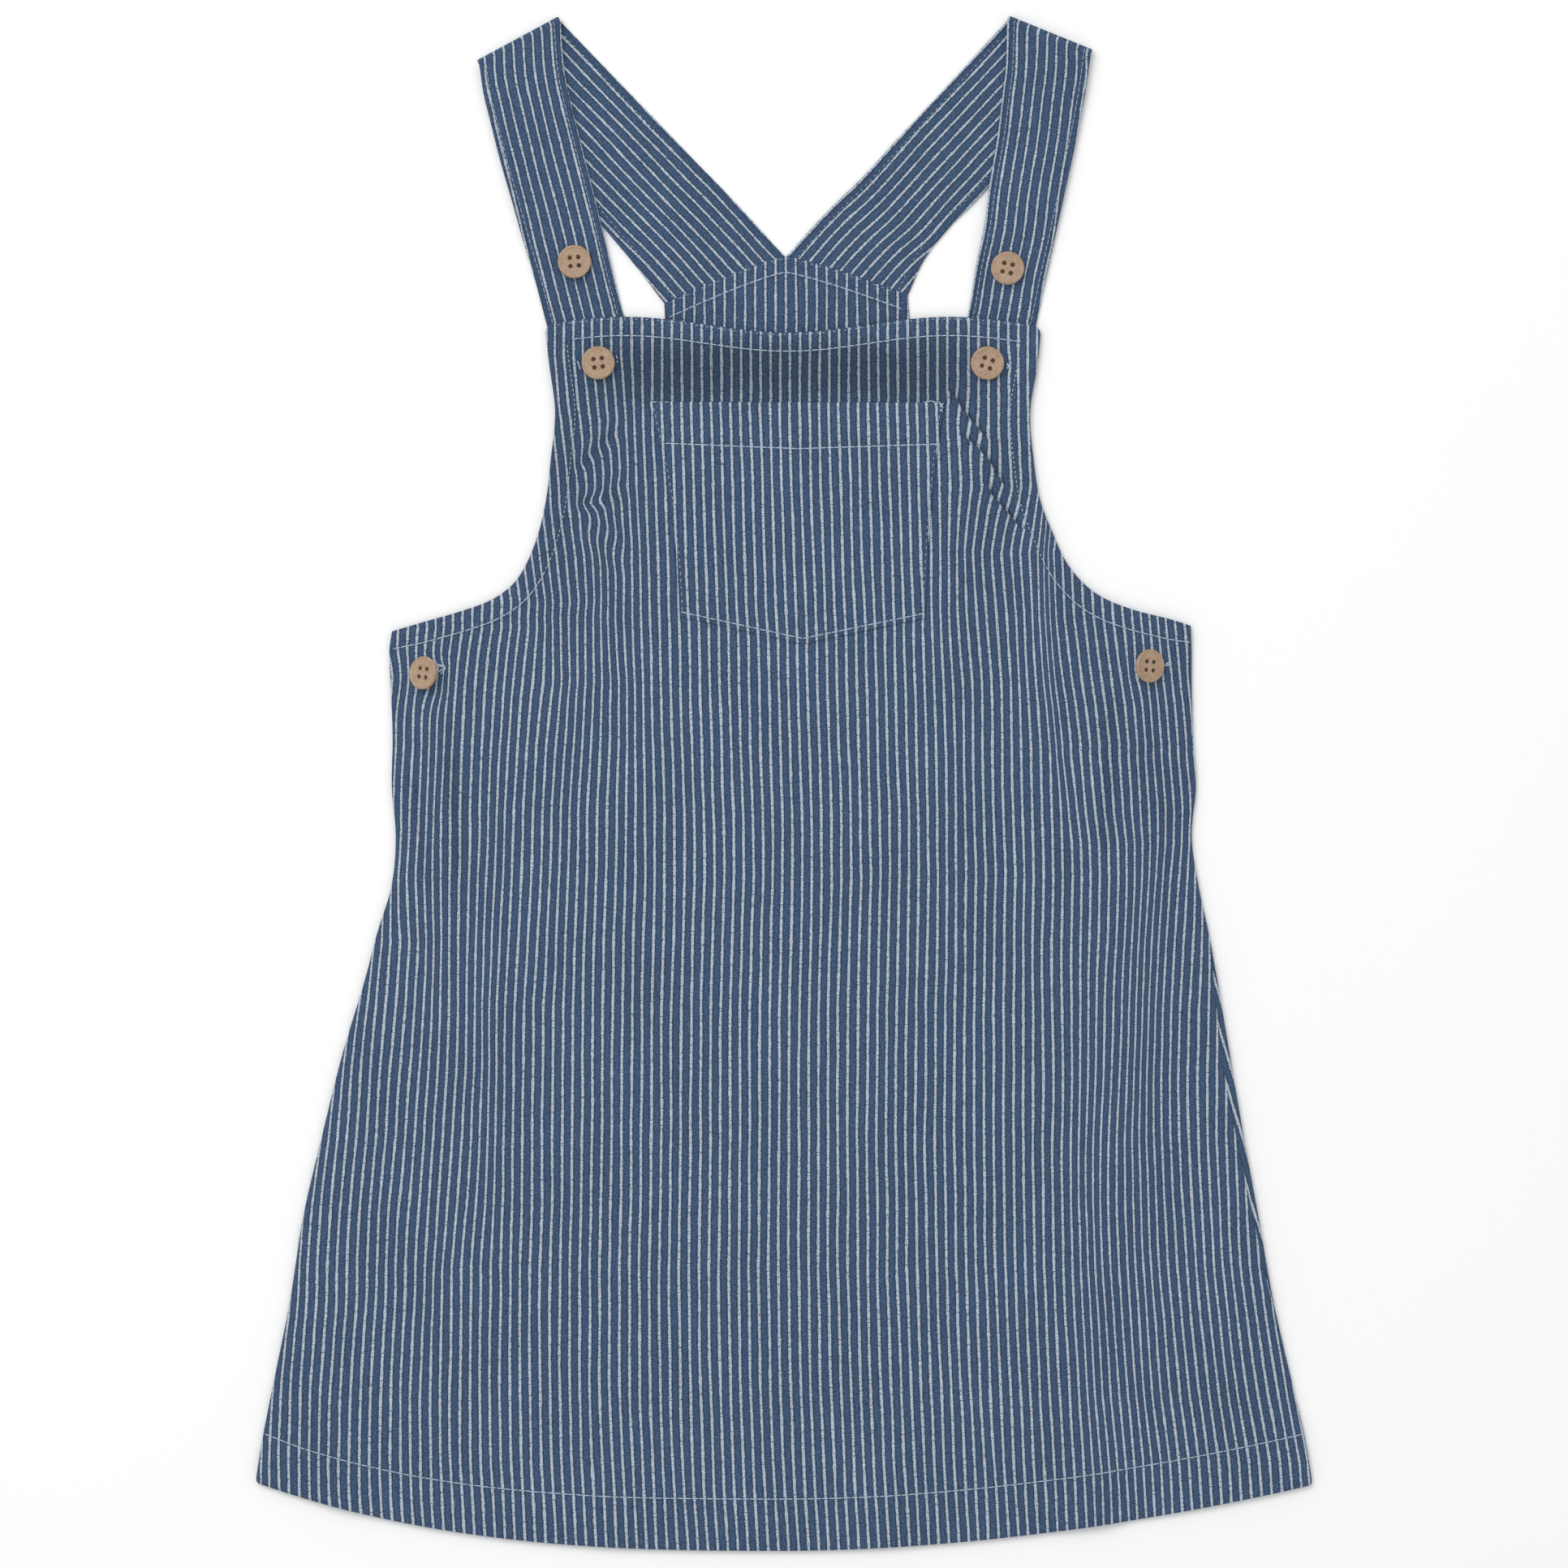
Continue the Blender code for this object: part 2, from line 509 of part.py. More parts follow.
def button_object(name, x, y, z, spin, tilt, parts, cutters):
    """Return a turned button with a raised rim and four holes."""
    mesh = bpy.data.meshes.new(name)
    profile = [(radius * MM, 0.0, height * MM) for radius, height in BUTTON_PROFILE]
    mesh.from_pydata(profile, [(k, k + 1) for k in range(len(profile) - 1)], [])
    button = bpy.data.objects.new(name, mesh)
    parts.objects.link(button)
    turned = button.modifiers.new("turned", "SCREW")
    turned.steps = BUTTON_STEPS
    turned.render_steps = BUTTON_STEPS
    turned.use_merge_vertices = True
    turned.merge_threshold = MERGE_DISTANCE * MM
    mesh.materials.append(new_material(name + "_shell", BUTTON_COLOUR, BUTTON_ROUGHNESS))

    bm = bmesh.new()
    for side_x in (-1, 1):
        for side_y in (-1, 1):
            hole = bmesh.ops.create_cone(
                bm, cap_ends=True, segments=HOLE_SIDES, radius1=HOLE_RADIUS * MM,
                radius2=HOLE_RADIUS * MM, depth=CUTTER_HEIGHT * MM)
            shift = (side_x * HOLE_OFFSET * MM, side_y * HOLE_OFFSET * MM, 0.0)
            bmesh.ops.translate(bm, verts=hole["verts"], vec=shift)
    cutter_mesh = bpy.data.meshes.new(name + "_holes")
    bm.to_mesh(cutter_mesh)
    bm.free()
    cutter = bpy.data.objects.new(name + "_holes", cutter_mesh)
    cutters.objects.link(cutter)
    cutter.display_type = "WIRE"
    cutter.hide_render = True
    holes = button.modifiers.new("holes", "BOOLEAN")
    holes.operation = "DIFFERENCE"
    holes.solver = "EXACT"
    holes.object = cutter
    for item in (button, cutter):
        item.location = (x * MM, y * MM, z * MM)
        item.rotation_mode = "ZYX"
        item.rotation_euler = (0.0, tilt, spin)
    return button


def build():
    """Make every piece of the dress."""
    clear_scene()
    parts = new_collection("pinafore_dress")
    cutters = new_collection("cutters")

    front_x, front_y = front_outline_points()
    front = np.stack([front_x, front_y, front_level(front_x, front_y)], axis=-1)
    back_x, back_y = back_outline_points()
    back = np.stack([back_x, back_y, np.full(back_x.shape, BACK_LEVEL)], axis=-1)
    strap_left = strap_points(STRAP_LEFT_BACK, STRAP_LEFT_FRONT)
    strap_right = strap_points(STRAP_RIGHT_BACK, STRAP_RIGHT_FRONT)[:, ::-1]
    pocket = pocket_points()

    cloth_object("front_panel", front, DENIM, parts)
    cloth_object("back_panel", back, DENIM, parts)
    cloth_object("strap_left", strap_left, STRAP, parts)
    cloth_object("strap_right", strap_right, STRAP, parts)
    cloth_object("pocket", pocket, DENIM, parts)

    surfaces = (
        (refined(front), DENIM),
        (refined(strap_left), STRAP),
        (refined(strap_right), STRAP),
    )
    for name, x, y, spin, tilt in BUTTONS:
        turn, lean = math.radians(spin), math.radians(tilt)
        z = rest_height(surfaces, x, y, turn, lean)
        button_object(name, x, y, z, turn, lean, parts, cutters)


build()
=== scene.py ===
"""Pinafore dress in striped denim, laid flat, with its stitching and buttons, floor, light and camera.

Sizes in the tables and functions are millimetres, and meshes are metres. +X runs across the
dress, +Y from hem to straps and +Z up from the floor, from the middle of the dress's box.
"""

import math
from functools import partial

import bpy
import numpy as np
from mathutils import Matrix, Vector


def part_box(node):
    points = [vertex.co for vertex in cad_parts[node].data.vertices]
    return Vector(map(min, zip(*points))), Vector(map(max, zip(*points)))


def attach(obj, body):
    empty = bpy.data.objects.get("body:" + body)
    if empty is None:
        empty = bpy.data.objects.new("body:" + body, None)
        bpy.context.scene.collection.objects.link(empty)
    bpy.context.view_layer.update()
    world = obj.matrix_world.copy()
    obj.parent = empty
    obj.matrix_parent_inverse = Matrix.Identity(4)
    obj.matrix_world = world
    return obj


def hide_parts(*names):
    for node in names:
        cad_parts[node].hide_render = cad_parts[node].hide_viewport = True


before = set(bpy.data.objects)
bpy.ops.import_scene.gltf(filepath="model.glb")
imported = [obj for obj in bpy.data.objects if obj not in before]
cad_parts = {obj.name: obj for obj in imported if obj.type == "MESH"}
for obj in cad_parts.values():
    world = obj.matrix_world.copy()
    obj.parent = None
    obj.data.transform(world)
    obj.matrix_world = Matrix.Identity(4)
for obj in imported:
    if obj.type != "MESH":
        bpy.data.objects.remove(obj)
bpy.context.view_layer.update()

bl_info = {
    "name": "Striped denim pinafore",
    "version": (1, 0, 0),
    "blender": (4, 5, 0),
    "location": "3D View > Sidebar > Pinafore",
    "description": "Builds a striped denim pinafore laid flat, with its stitching and buttons",
    "category": "Object",
}

MM = 0.001

# Cloth and the way its layers lie
DENIM = 1.0             # thickness of one panel
STRAP = 1.4             # thickness of a double strap
SEAM_GAP = 0.3          # space between neighbouring pieces
SEWN_GAP = 0.05         # space between a strap's end and the yoke
SEWN_ROUND = 0.12       # length over which a strap's end takes its thickness there
SEWN_THIN = 0.32        # how much thinner the strap is there
SEWN_RUN = 9.0          # distance over which it reaches its thickness
BACK_LEVEL = DENIM / 2                              # middle of the back's cloth
FRONT_LEVEL = BACK_LEVEL + DENIM + SEAM_GAP         # middle of the front's cloth at the side seams
STRAP_LEVEL = STRAP / 2                             # middle of a strap on the floor
LOFT_LIMIT = 3.6        # most that the front stands off the back
LEVEL_SHARPNESS = 4.0   # how suddenly a trough stops at the back panel
EDGE_ROUND = 6.0        # distance over which the front curves down to a side seam
STRAP_CLEARANCE = 0.55  # rise of the bib over the strap ends
CLEARANCE_START = 152.0  # height up the bib where that rise begins
CLEARANCE_RUN = 16.0    # distance over which it rises
FOLD_LEAD = 2.0         # half widths before a fold's end at which it begins to rise
FOLD_FADE = 3.0         # half widths over which it rises to its full height

# Front panel: a row for each section, its height at the centre and its two ends
FRONT_SECTIONS = (
    # centre_y, left_x, left_y, right_x, right_y
    (202.9, -107.6, 206.0, 115.6, 206.0),
    (188.3, -105.5, 188.3, 113.9, 188.3),
    (167.2, -102.9, 167.2, 110.6, 167.2),
    (146.4, -104.8, 146.4, 112.1, 146.4),
    (128.1, -106.9, 128.1, 115.0, 128.1),
    (113.5, -110.2, 113.5, 120.5, 113.5),
    (100.7, -115.3, 100.0, 126.7, 100.0),
    (91.6, -121.9, 89.8, 135.1, 89.8),
    (84.3, -132.1, 82.5, 144.5, 83.2),
    (78.1, -146.0, 77.4, 157.7, 78.1),
    (72.6, -161.3, 73.0, 173.0, 74.2),
    (67.9, -176.2, 68.6, 182.8, 71.2),
    (59.0, -177.4, 59.0, 183.2, 59.0),
    (42.3, -176.7, 42.3, 183.2, 42.3),
    (20.4, -175.9, 20.4, 184.0, 20.4),
    (-1.5, -176.3, -1.5, 185.1, -1.5),
    (-23.4, -174.5, -23.4, 183.2, -23.4),
    (-45.3, -176.3, -45.3, 186.2, -45.3),
    (-67.2, -182.9, -67.2, 190.9, -67.2),
    (-89.1, -188.7, -89.1, 194.9, -89.1),
    (-121.9, -198.6, -121.9, 200.4, -121.9),
    (-158.4, -207.7, -158.4, 206.6, -158.4),
    (-195.5, -216.2, -194.9, 213.3, -194.9),
    (-234.0, -221.9, -231.4, 219.7, -231.4),
    (-273.0, -229.2, -267.9, 228.0, -267.9),
    (-309.0, -234.3, -293.5, 234.0, -293.5),
    (-344.6, -237.6, -313.9, 237.6, -315.0),
)
UNDERARM_SECTION = 11   # the section that ends at both underarm corners
UNDERARM_ROUNDED = 3    # last samples of an armhole's line that already turn round its corner
HEM_CORNER_RADIUS = 1.6
ROW_BEND_LEFT = 2.7     # power of the curve from a section's centre to its left end
ROW_BEND_RIGHT = 1.85   # the same to its right end

# Back panel above the underarm, where it narrows to the pointed yoke
YOKE_SECTIONS = (
    # centre_y, left_x, left_y, right_x, right_y
    (237.4, -53.8, 216.1, 55.8, 220.1),
    (213.0, -53.2, 199.3, 56.8, 199.3),
    (188.0, -54.0, 177.4, 56.8, 177.4),
    (161.0, -56.9, 153.7, 59.9, 153.7),
    (134.0, -64.2, 129.9, 67.2, 129.9),
    (112.0, -77.0, 109.9, 79.9, 109.9),
    (95.0, -95.3, 94.2, 98.2, 94.2),
    (82.0, -119.0, 81.8, 121.9, 81.8),
    (72.0, -146.4, 72.0, 150.0, 73.0),
    (62.5, -176.9, 61.7, 182.9, 64.2),
)

# Bib top: a wave with its low point near the centre
BIB_WAVE_HEIGHT = 3.5
BIB_WAVE_HALF = 73.0
BIB_WAVE_CENTRE_X = 1.5
BIB_WAVE_FADE = 26.0
BIB_CORNER_RADIUS = 4.0

# How far the front stands off the back down the dress
LOFT_ROWS = (
    # y, loft
    (206.0, 0.30),
    (150.0, 0.50),
    (90.0, 0.90),
    (30.0, 1.40),
    (-120.0, 1.30),
    (-250.0, 1.00),
    (-345.0, 0.50),
)

# Largest folds of the front: straight ridges, or troughs where the height is negative
FOLDS = (
    # x0, y0, x1, y1, half_width, height
    (-158.0, 52.0, -156.0, -30.0, 9.0, 2.4),
    (-168.0, -50.0, -150.0, -112.0, 9.0, 1.8),
    (-136.0, -30.0, -134.0, -205.0, 10.0, 2.2),
    (-182.0, -170.0, -140.0, -262.0, 11.0, 1.8),
    (-190.0, -255.0, -200.0, -335.0, 12.0, 1.2),
    (-111.0, 5.0, -111.0, -80.0, 8.0, 1.3),
    (-124.0, 30.0, -122.0, -150.0, 7.0, -1.1),
    (-81.0, 82.0, -81.0, 5.0, 8.0, 1.0),
    (160.0, 54.0, 157.0, -20.0, 9.0, 2.4),
    (146.0, 0.0, 158.0, -190.0, 11.0, 2.4),
    (172.0, -45.0, 183.0, -200.0, 7.0, -1.4),
    (129.0, 20.0, 133.0, -140.0, 8.0, -1.2),
    (124.0, -140.0, 138.0, -335.0, 12.0, 2.3),
    (158.0, -195.0, 160.0, -330.0, 9.0, -0.9),
    (118.0, 92.0, 116.0, 25.0, 8.0, 0.9),
    (80.0, 20.0, -5.0, -200.0, 15.0, 1.0),
    (106.0, -50.0, 40.0, -150.0, 13.0, 0.8),
    (-12.0, 50.0, -30.0, -180.0, 16.0, -0.8),
    (60.0, -190.0, 44.0, -335.0, 14.0, 1.0),
    (-64.0, -200.0, -78.0, -335.0, 14.0, 1.0),
    (74.0, 178.0, 90.0, 148.0, 6.0, 1.1),
    (90.0, 148.0, 106.0, 116.0, 6.0, 1.2),
    (-88.0, 165.0, -80.0, 120.0, 7.0, 0.9),
)

# Sharp creases at the bib's side, where stripes break: points down each
SHARP_CREASES = (
    ((72.6, 177.7), (76.0, 174.7), (79.8, 169.2), (83.9, 163.7), (88.8, 157.9), (92.7, 153.1)),
    ((78.1, 157.9), (81.8, 155.5), (86.0, 152.1), (90.0, 147.9), (93.3, 143.9), (96.1, 138.5),
     (100.0, 132.4)),
    ((90.3, 137.9), (93.0, 130.6), (97.0, 126.0), (101.2, 121.1), (105.5, 115.9), (109.8, 113.8)),
)
CREASE_LABELS = ("crease_top", "crease_middle", "crease_foot")
CREASE_BREAK = 1.6      # how far the stripes step to the right at one
CREASE_EASE = 8.0       # distance over which they lean to and from it
CREASE_FADE = 5.0       # length over which a crease starts and ends
CREASE_SHARP = 0.2      # half the distance over which they step
CREASE_SHADOW = (-2.4, 0.0)     # places below a crease at which its shade begins and is full
CREASE_LIT = (0.45, -0.05)      # places at which the cloth beside it is lit again, and not yet

# Small creases of the front's outer face
CREASES = (
    # x0, y0, x1, y1, half_width, height
    (75.0, 176.0, 84.0, 163.7, 1.8, -0.3),
    (84.0, 163.7, 92.7, 153.1, 1.8, -0.25),
    (80.0, 156.5, 93.3, 143.9, 1.9, -0.35),
    (93.3, 143.9, 99.0, 133.5, 1.8, -0.35),
    (91.5, 134.0, 105.5, 116.0, 1.9, -0.4),
    (84.5, 159.5, 93.0, 148.0, 3.0, 0.35),
    (95.0, 136.0, 106.0, 121.5, 3.0, 0.4),
    (-91.0, 144.0, -76.5, 158.0, 2.4, -0.5),
    (-91.0, 126.5, -77.0, 130.0, 2.4, -0.55),
    (-84.0, 138.0, -84.0, 110.0, 3.0, 0.4),
    (-150.0, 20.0, -146.0, -40.0, 3.5, -0.5),
    (-166.0, 0.0, -160.0, -46.0, 3.0, -0.5),
    (148.0, 40.0, 144.0, -30.0, 3.5, -0.5),
    (171.0, 30.0, 168.0, -30.0, 3.0, 0.5),
)

# Straps: sections from the yoke's edge to the fold, then from the fold to the end behind the bib
STRAP_LEFT_BACK = (
    # outer_x, outer_y, inner_x, inner_y
    (-53.8, 216.4, 0.2, 237.6),
    (-69.0, 235.8, -21.9, 261.5),
    (-83.0, 252.7, -41.3, 281.5),
    (-110.0, 288.0, -72.5, 314.2),
    (-138.0, 325.2, -101.5, 344.9),
)
STRAP_LEFT_FRONT = (
    # outer_x, outer_y, inner_x, inner_y, outer_z, inner_z
    (-138.0, 325.2, -101.5, 344.9, 3.90, 3.90),
    (-135.8, 311.7, -99.6, 323.4, 3.10, 3.10),
    (-132.1, 297.8, -96.0, 307.0, 2.60, 2.60),
    (-127.4, 279.6, -91.6, 289.4, 2.50, 2.50),
    (-121.9, 260.6, -86.5, 269.4, 2.35, 2.60),
    (-116.8, 242.4, -82.0, 251.1, 1.70, 2.60),
    (-111.3, 224.1, -77.4, 232.1, 1.15, 1.70),
    (-106.9, 207.3, -73.2, 215.4, 0.72, 0.72),
    (-101.5, 187.6, -68.0, 195.6, 0.70, 0.70),
    (-96.4, 167.5, -63.5, 175.9, 0.70, 0.70),
)
STRAP_RIGHT_BACK = (
    # outer_x, outer_y, inner_x, inner_y
    (55.8, 220.4, 1.2, 237.6),
    (63.1, 235.8, 19.5, 257.5),
    (74.5, 250.4, 36.0, 273.6),
    (92.7, 269.7, 59.5, 299.6),
    (138.7, 330.0, 101.1, 345.3),
)
STRAP_RIGHT_FRONT = (
    # outer_x, outer_y, inner_x, inner_y, outer_z, inner_z
    (138.7, 330.0, 101.1, 345.3, 3.90, 3.90),
    (136.5, 315.4, 100.4, 324.9, 3.10, 3.10),
    (133.6, 300.4, 98.2, 308.4, 2.60, 2.60),
    (129.6, 281.4, 95.6, 288.7, 2.50, 2.50),
    (125.2, 261.3, 92.3, 269.0, 2.35, 2.60),
    (121.2, 243.1, 89.8, 250.4, 1.70, 2.60),
    (117.2, 224.8, 86.1, 232.1, 1.15, 1.70),
    (113.5, 207.3, 83.2, 213.9, 0.72, 0.72),
    (108.4, 187.6, 78.8, 194.9, 0.70, 0.70),
    (103.7, 168.3, 74.5, 175.2, 0.70, 0.70),
)
FOLD_RADIUS = 1.6       # middle of the strap's cloth where it turns over
FOLD_STEPS = 16
FOLD_ROWS_PAST = 6      # rows past the fold by which its stripes run straight again
LOWER_SHIFT_START = 0.6  # share of the strap's back after which it moves in to make room for the fold
UPPER_SHIFT_END = 0.3   # share of the strap's front by which that move is gone

# Yoke point: the edge drops from its apex by a power curve
YOKE_APEX_X = 0.6
YOKE_APEX_Y = 237.4
YOKE_HALF = 54.4
YOKE_DROP_LEFT = 21.3
YOKE_DROP_RIGHT = 17.3
YOKE_POWER = 1.2
YOKE_BLEND = 0.25       # share of the strap over which its end follows the yoke

# Pocket
POCKET_TOP_LEFT = (-60.6, 171.6)
POCKET_TOP_RIGHT = (71.9, 171.2)
POCKET_LOW_LEFT = (-46.7, 75.2)
POCKET_LOW_RIGHT = (63.5, 74.5)
POCKET_WAIST = 3.0      # how far its sides curve in
POCKET_POINT_DROP = 12.0
POCKET_MOUTH_LIFT = 0.5
POCKET_CORNER_LIFT = 0.7
POCKET_CORNER_POWER = 8
POCKET_MOUTH_DEPTH = 22.0
POCKET_EDGE_RUN = 4.0   # distance over which it goes down to its sewn edges
POCKET_EDGE_DROP = 0.24  # how much nearer to the front it lies there
POCKET_EDGE_THIN = 0.3  # how much thinner it is pressed there
POCKET_HEM_THICKNESS = 0.25

# Stripes of the cloth
STRIPE_PITCH = 4.4165
STRIPE_PHASE_X = 24.1    # a stripe runs this far left of the middle
STRIPE_DRIFT = (
    # y, drift of the front's stripes
    (206.0, 4.2),
    (160.0, 4.2),
    (133.0, 3.1),
    (104.0, 2.0),
    (75.0, 1.3),
    (46.0, 0.7),
    (17.0, 0.0),
    (-12.0, -1.1),
    (-42.0, -1.4),
    (-71.0, -0.7),
    (-100.0, 0.0),
    (-188.0, 0.3),
    (-217.0, 0.7),
    (-246.0, 0.4),
    (-275.0, -0.2),
    (-304.0, -1.2),
    (-345.0, -3.4),
)
STRIPE_TAKES = (
    # half_width, then places down the fold: y, x, cloth that the fold takes up there
    (9.0, ((206, -68, -1.0), (192, -68, -1.0), (163, -70, 2.2), (134, -70, 3.2), (104, -68, 3.2),
           (75, -68, 2.0), (46, -68, 4.0), (17, -68, 3.0), (-12, -68, 0.8), (-42, -68, 0.0))),
    (10.0, ((104, -97, 0.0), (75, -97, 2.2), (46, -97, 4.0), (17, -98, 2.0), (-42, -98, 1.5),
            (-100, -98, 0.0))),
    (8.0, ((75, -122, 1.0), (46, -124, 0.8), (17, -127, 2.2), (-42, -133, 3.3), (-71, -134, 4.5),
           (-100, -134, 5.8), (-129, -133, 5.8), (-158, -132, 4.5), (-188, -132, 2.2), (-217, -132, 0.0))),
    (7.0, ((75, -155, 2.0), (46, -156, 3.3), (17, -157, 5.0), (-12, -158, 4.4), (-42, -159, 3.0),
           (-71, -158, 4.6), (-100, -157, 3.0), (-129, -156, 0.7), (-188, -156, 0.6), (-217, -156, 1.5),
           (-246, -156, 0.3))),
    (9.0, ((192, 78, -1.0), (134, 78, -1.4), (104, 78, 4.0), (75, 78, 2.2), (46, 78, 0.8),
           (-12, 78, 1.2), (-42, 78, 0.3))),
    (9.0, ((134, 108, 0.0), (104, 109, 1.5), (75, 110, 3.0), (46, 108, 3.0), (17, 108, 0.4),
           (-71, 108, 1.2), (-100, 108, 0.3))),
    (10.0, ((17, 136, 0.0), (-12, 136, 2.0), (-71, 136, 1.2), (-100, 137, 3.2), (-129, 137, 4.4),
            (-158, 136, 5.8), (-188, 136, 6.8), (-217, 138, 6.4), (-275, 141, 5.3), (-304, 143, 3.7))),
    (12.0, ((75, 166, 4.0), (46, 166, 5.0), (17, 166, 5.2), (-12, 165, 4.2), (-42, 164, 9.0),
            (-71, 162, 10.8), (-129, 160, 9.8), (-158, 160, 8.0), (-188, 161, 5.9), (-246, 162, 4.4),
            (-304, 163, 3.3))),
    (9.0, ((-129, 192, 0.0), (-158, 193, 1.0), (-217, 196, 2.4), (-246, 198, 1.8), (-304, 200, 0.0))),
    (8.0, ((170, -82, 0.8), (148, -82, 1.6), (126, -82, 1.7), (104, -82, 3.9), (82, -82, 5.8),
           (61, -82, 3.5), (39, -82, 1.7), (13, -82, 0.7), (-12, -82, 0.0))),
    (8.0, ((78, -108, 3.1), (70, -108, 2.9), (60, -108, 0.9), (46, -108, -1.7), (31, -108, -1.2),
           (13, -108, -0.8), (-20, -108, 0.0))),
    (6.0, ((90, 118, 2.8), (75, 118, 2.4), (57, 119, 1.3), (46, 119, 0.5), (35, 119, 0.0))),
    (3.0, ((85, 118, 4.4), (57, 119, 4.4), (35, 121, 4.4), (13, 123, 4.4), (6, 124, 3.5),
           (-8, 126, 1.8), (-27, 128, 0.0))),
)
TAKE_SHARPNESS = 1.2    # how suddenly a fold takes up its cloth
STRIPE_KINKS = (
    # x0, y0, x1, y1, half_width, sideways move of the stripes to the left
    (-91.0, 143.9, -87.3, 149.4, 2.8, 1.9),
    (-84.0, 150.9, -76.3, 158.0, 3.6, 1.4),
    (-89.5, 126.0, -82.2, 127.6, 3.0, 2.9),
    (-79.3, 131.1, -72.5, 134.5, 4.5, 1.5),
    (-87.3, 111.1, -73.1, 99.5, 4.5, 1.3),
    (-87.2, 120.8, -72.6, 110.6, 3.6, -0.7),
)
STRIPE_PULLS = (
    # x, y, reach across, reach down, sideways move of the stripes to the left
    (-157.5, 44.5, 6.5, 8.5, -3.8),         # into the left side buttonhole
    (-155.2, 51.6, 3.8, 3.4, -2.2),
    (157.5, 50.0, 3.0, 9.0, 1.2),           # round the right side button
    (100.8, 188.6, 2.0, 4.0, -0.9),         # round the thread at the right bib button
    (-173.0, 46.0, 8.0, 13.0, -3.0),        # left of the left side button
    (-25.0, 70.0, 55.0, 130.0, -0.4),       # bib
    (75.0, 75.0, 18.0, 30.0, 1.1),
    (85.0, -35.0, 32.0, 45.0, 0.9),         # skirt, right
    (135.0, -150.0, 90.0, 190.0, 0.7),
    (135.0, -130.0, 25.0, 30.0, -1.0),
    (60.0, -165.0, 20.0, 40.0, 0.5),
    (205.0, -235.0, 30.0, 70.0, 1.0),
    (-126.0, 0.0, 22.0, 65.0, -0.8),        # skirt, left
    (-150.0, -150.0, 40.0, 35.0, 0.8),
    (-205.0, -238.0, 55.0, 30.0, -2.1),
    (-205.0, -322.0, 45.0, 24.0, 1.1),
)
HEM_FAN = 0.026         # share by which the stripes open out towards the hem
HEM_FAN_START = -130.0
HEM_FAN_RUN = 190.0
SIDE_SQUEEZE = 1.6      # how far the stripes are drawn together at a side edge
SIDE_SQUEEZE_RUN = 9.0
SIDE_SQUEEZE_START = 145.0  # distance below the bib's top corner at which that begins
SIDE_SQUEEZE_EASE = 12.0
SEAM_SLIVER = (
    # y, how far the back shows beyond the right side seam
    (-68.0, 0.0),
    (-82.0, 1.3),
    (-97.0, 2.4),
    (-127.0, 4.0),
    (-152.0, 3.7),
    (-181.0, 3.0),
    (-209.0, 2.0),
    (-228.0, 1.2),
    (-246.0, 0.0),
)
SLIVER_LEAN = 0.3       # sideways lean of the stripes beyond that seam
SLIVER_PHASE = 1.0
SLIVER_HIDDEN = 3.0     # how far inside the edge the seam is taken to lie where the back doesn't show
POCKET_STRIPE_PITCH = 4.4
POCKET_STRIPE_X = 11.5
POCKET_DRIFT = (
    # y, how far the pocket's stripes have moved to the right
    (172.0, -0.4),
    (160.0, 0.0),
    (134.0, 0.75),
    (101.0, 1.7),
    (79.0, 2.5),
    (60.0, 3.6),
)
YOKE_STRIPE_PITCH = 4.58
YOKE_STRIPE_X = -3.76
STRIPE_THIN = 0.12      # how much less half a stripe's width is on back and straps
STRAP_STITCH_END = 204.0  # height at which a strap goes behind the bib
STRAP_STRIPE_LEFT = 4.3  # distance of the first stripe from a strap's inner edge
STRAP_STRIPE_RIGHT = 4.8

# Turned edges and the stitching that holds them: distance from edge to stitch line
HEM_DEPTHS = (
    # x, how deep the hem is turned up there
    (-235.0, 22.3),
    (-215.0, 21.4),
    (-165.0, 21.7),
    (-100.0, 22.8),
    (-40.0, 23.4),
)
BIB_TOP_DEPTH = 8.5
SIDE_DEPTH = 9.0
YOKE_DEPTH = 7.3
YOKE_SEAM_DEPTH = 0.9
YOKE_SLANT = 0.93       # distance from the yoke's edge as a share of the height below it
YOKE_STITCH_STOP = 2.0  # length at both ends of the yoke that its stitch lines leave free
STRAP_DEPTH = 1.9
POCKET_MOUTH_HEM = 18.5
POCKET_SIDE_DEPTH = 1.4
POCKET_FOOT_DEPTH = 2.2
POCKET_SLANT = 0.98     # distance from the pocket's foot as a share of the height above it
POCKET_MOUTH_LINE = (0.022, 0.992)  # shares across or down at which the stitch lines start and end
POCKET_FOOT_LINE = (0.003, 0.997)
POCKET_SIDE_LINE = (0.02, 0.975)
BIB_TOP_STITCH_ENDS = (-95.1, 106.5)
BIB_STITCH_END = 96.0   # height below which the armhole's stitches lie close together
EDGE_STOP = 1.0         # distance from an edge at which a stitch line stops
TURNED_BEYOND = 0.9     # cloth of a turned edge beyond its stitching
TURNED_THICKNESS = 0.35
TURNED_STEP = 1.6       # distance over which that thickness begins
DEPTH_LIMIT = 12.0      # distances into a turned edge or from a crease are kept only this far
PUCKER_HEIGHT = 0.16
PUCKER_LENGTH = 7.5
PUCKERS = {
    # stitch line: wander of its waves, length of that, place past the line, spread, share of full height
    "hem": (1.6, 17.0, -2.0, 5.0, 0.6),
    "bib_top": (1.6, 17.0, 0.0, 3.5, 0.8),
    "armhole": (1.3, 13.0, -0.25 * SIDE_DEPTH, 4.5, 1.0),
}
ROLL_RADIUS = 1.3       # rounding of a folded edge
POCKET_ROLL_RADIUS = 0.7
EDGE_STEPS = (0.0, 0.12, 0.42, 1.0)     # places of the points that round an edge, as shares of its radius
EDGE_LIMIT = 0.9        # largest share of the grid's outer squares that the rounding takes

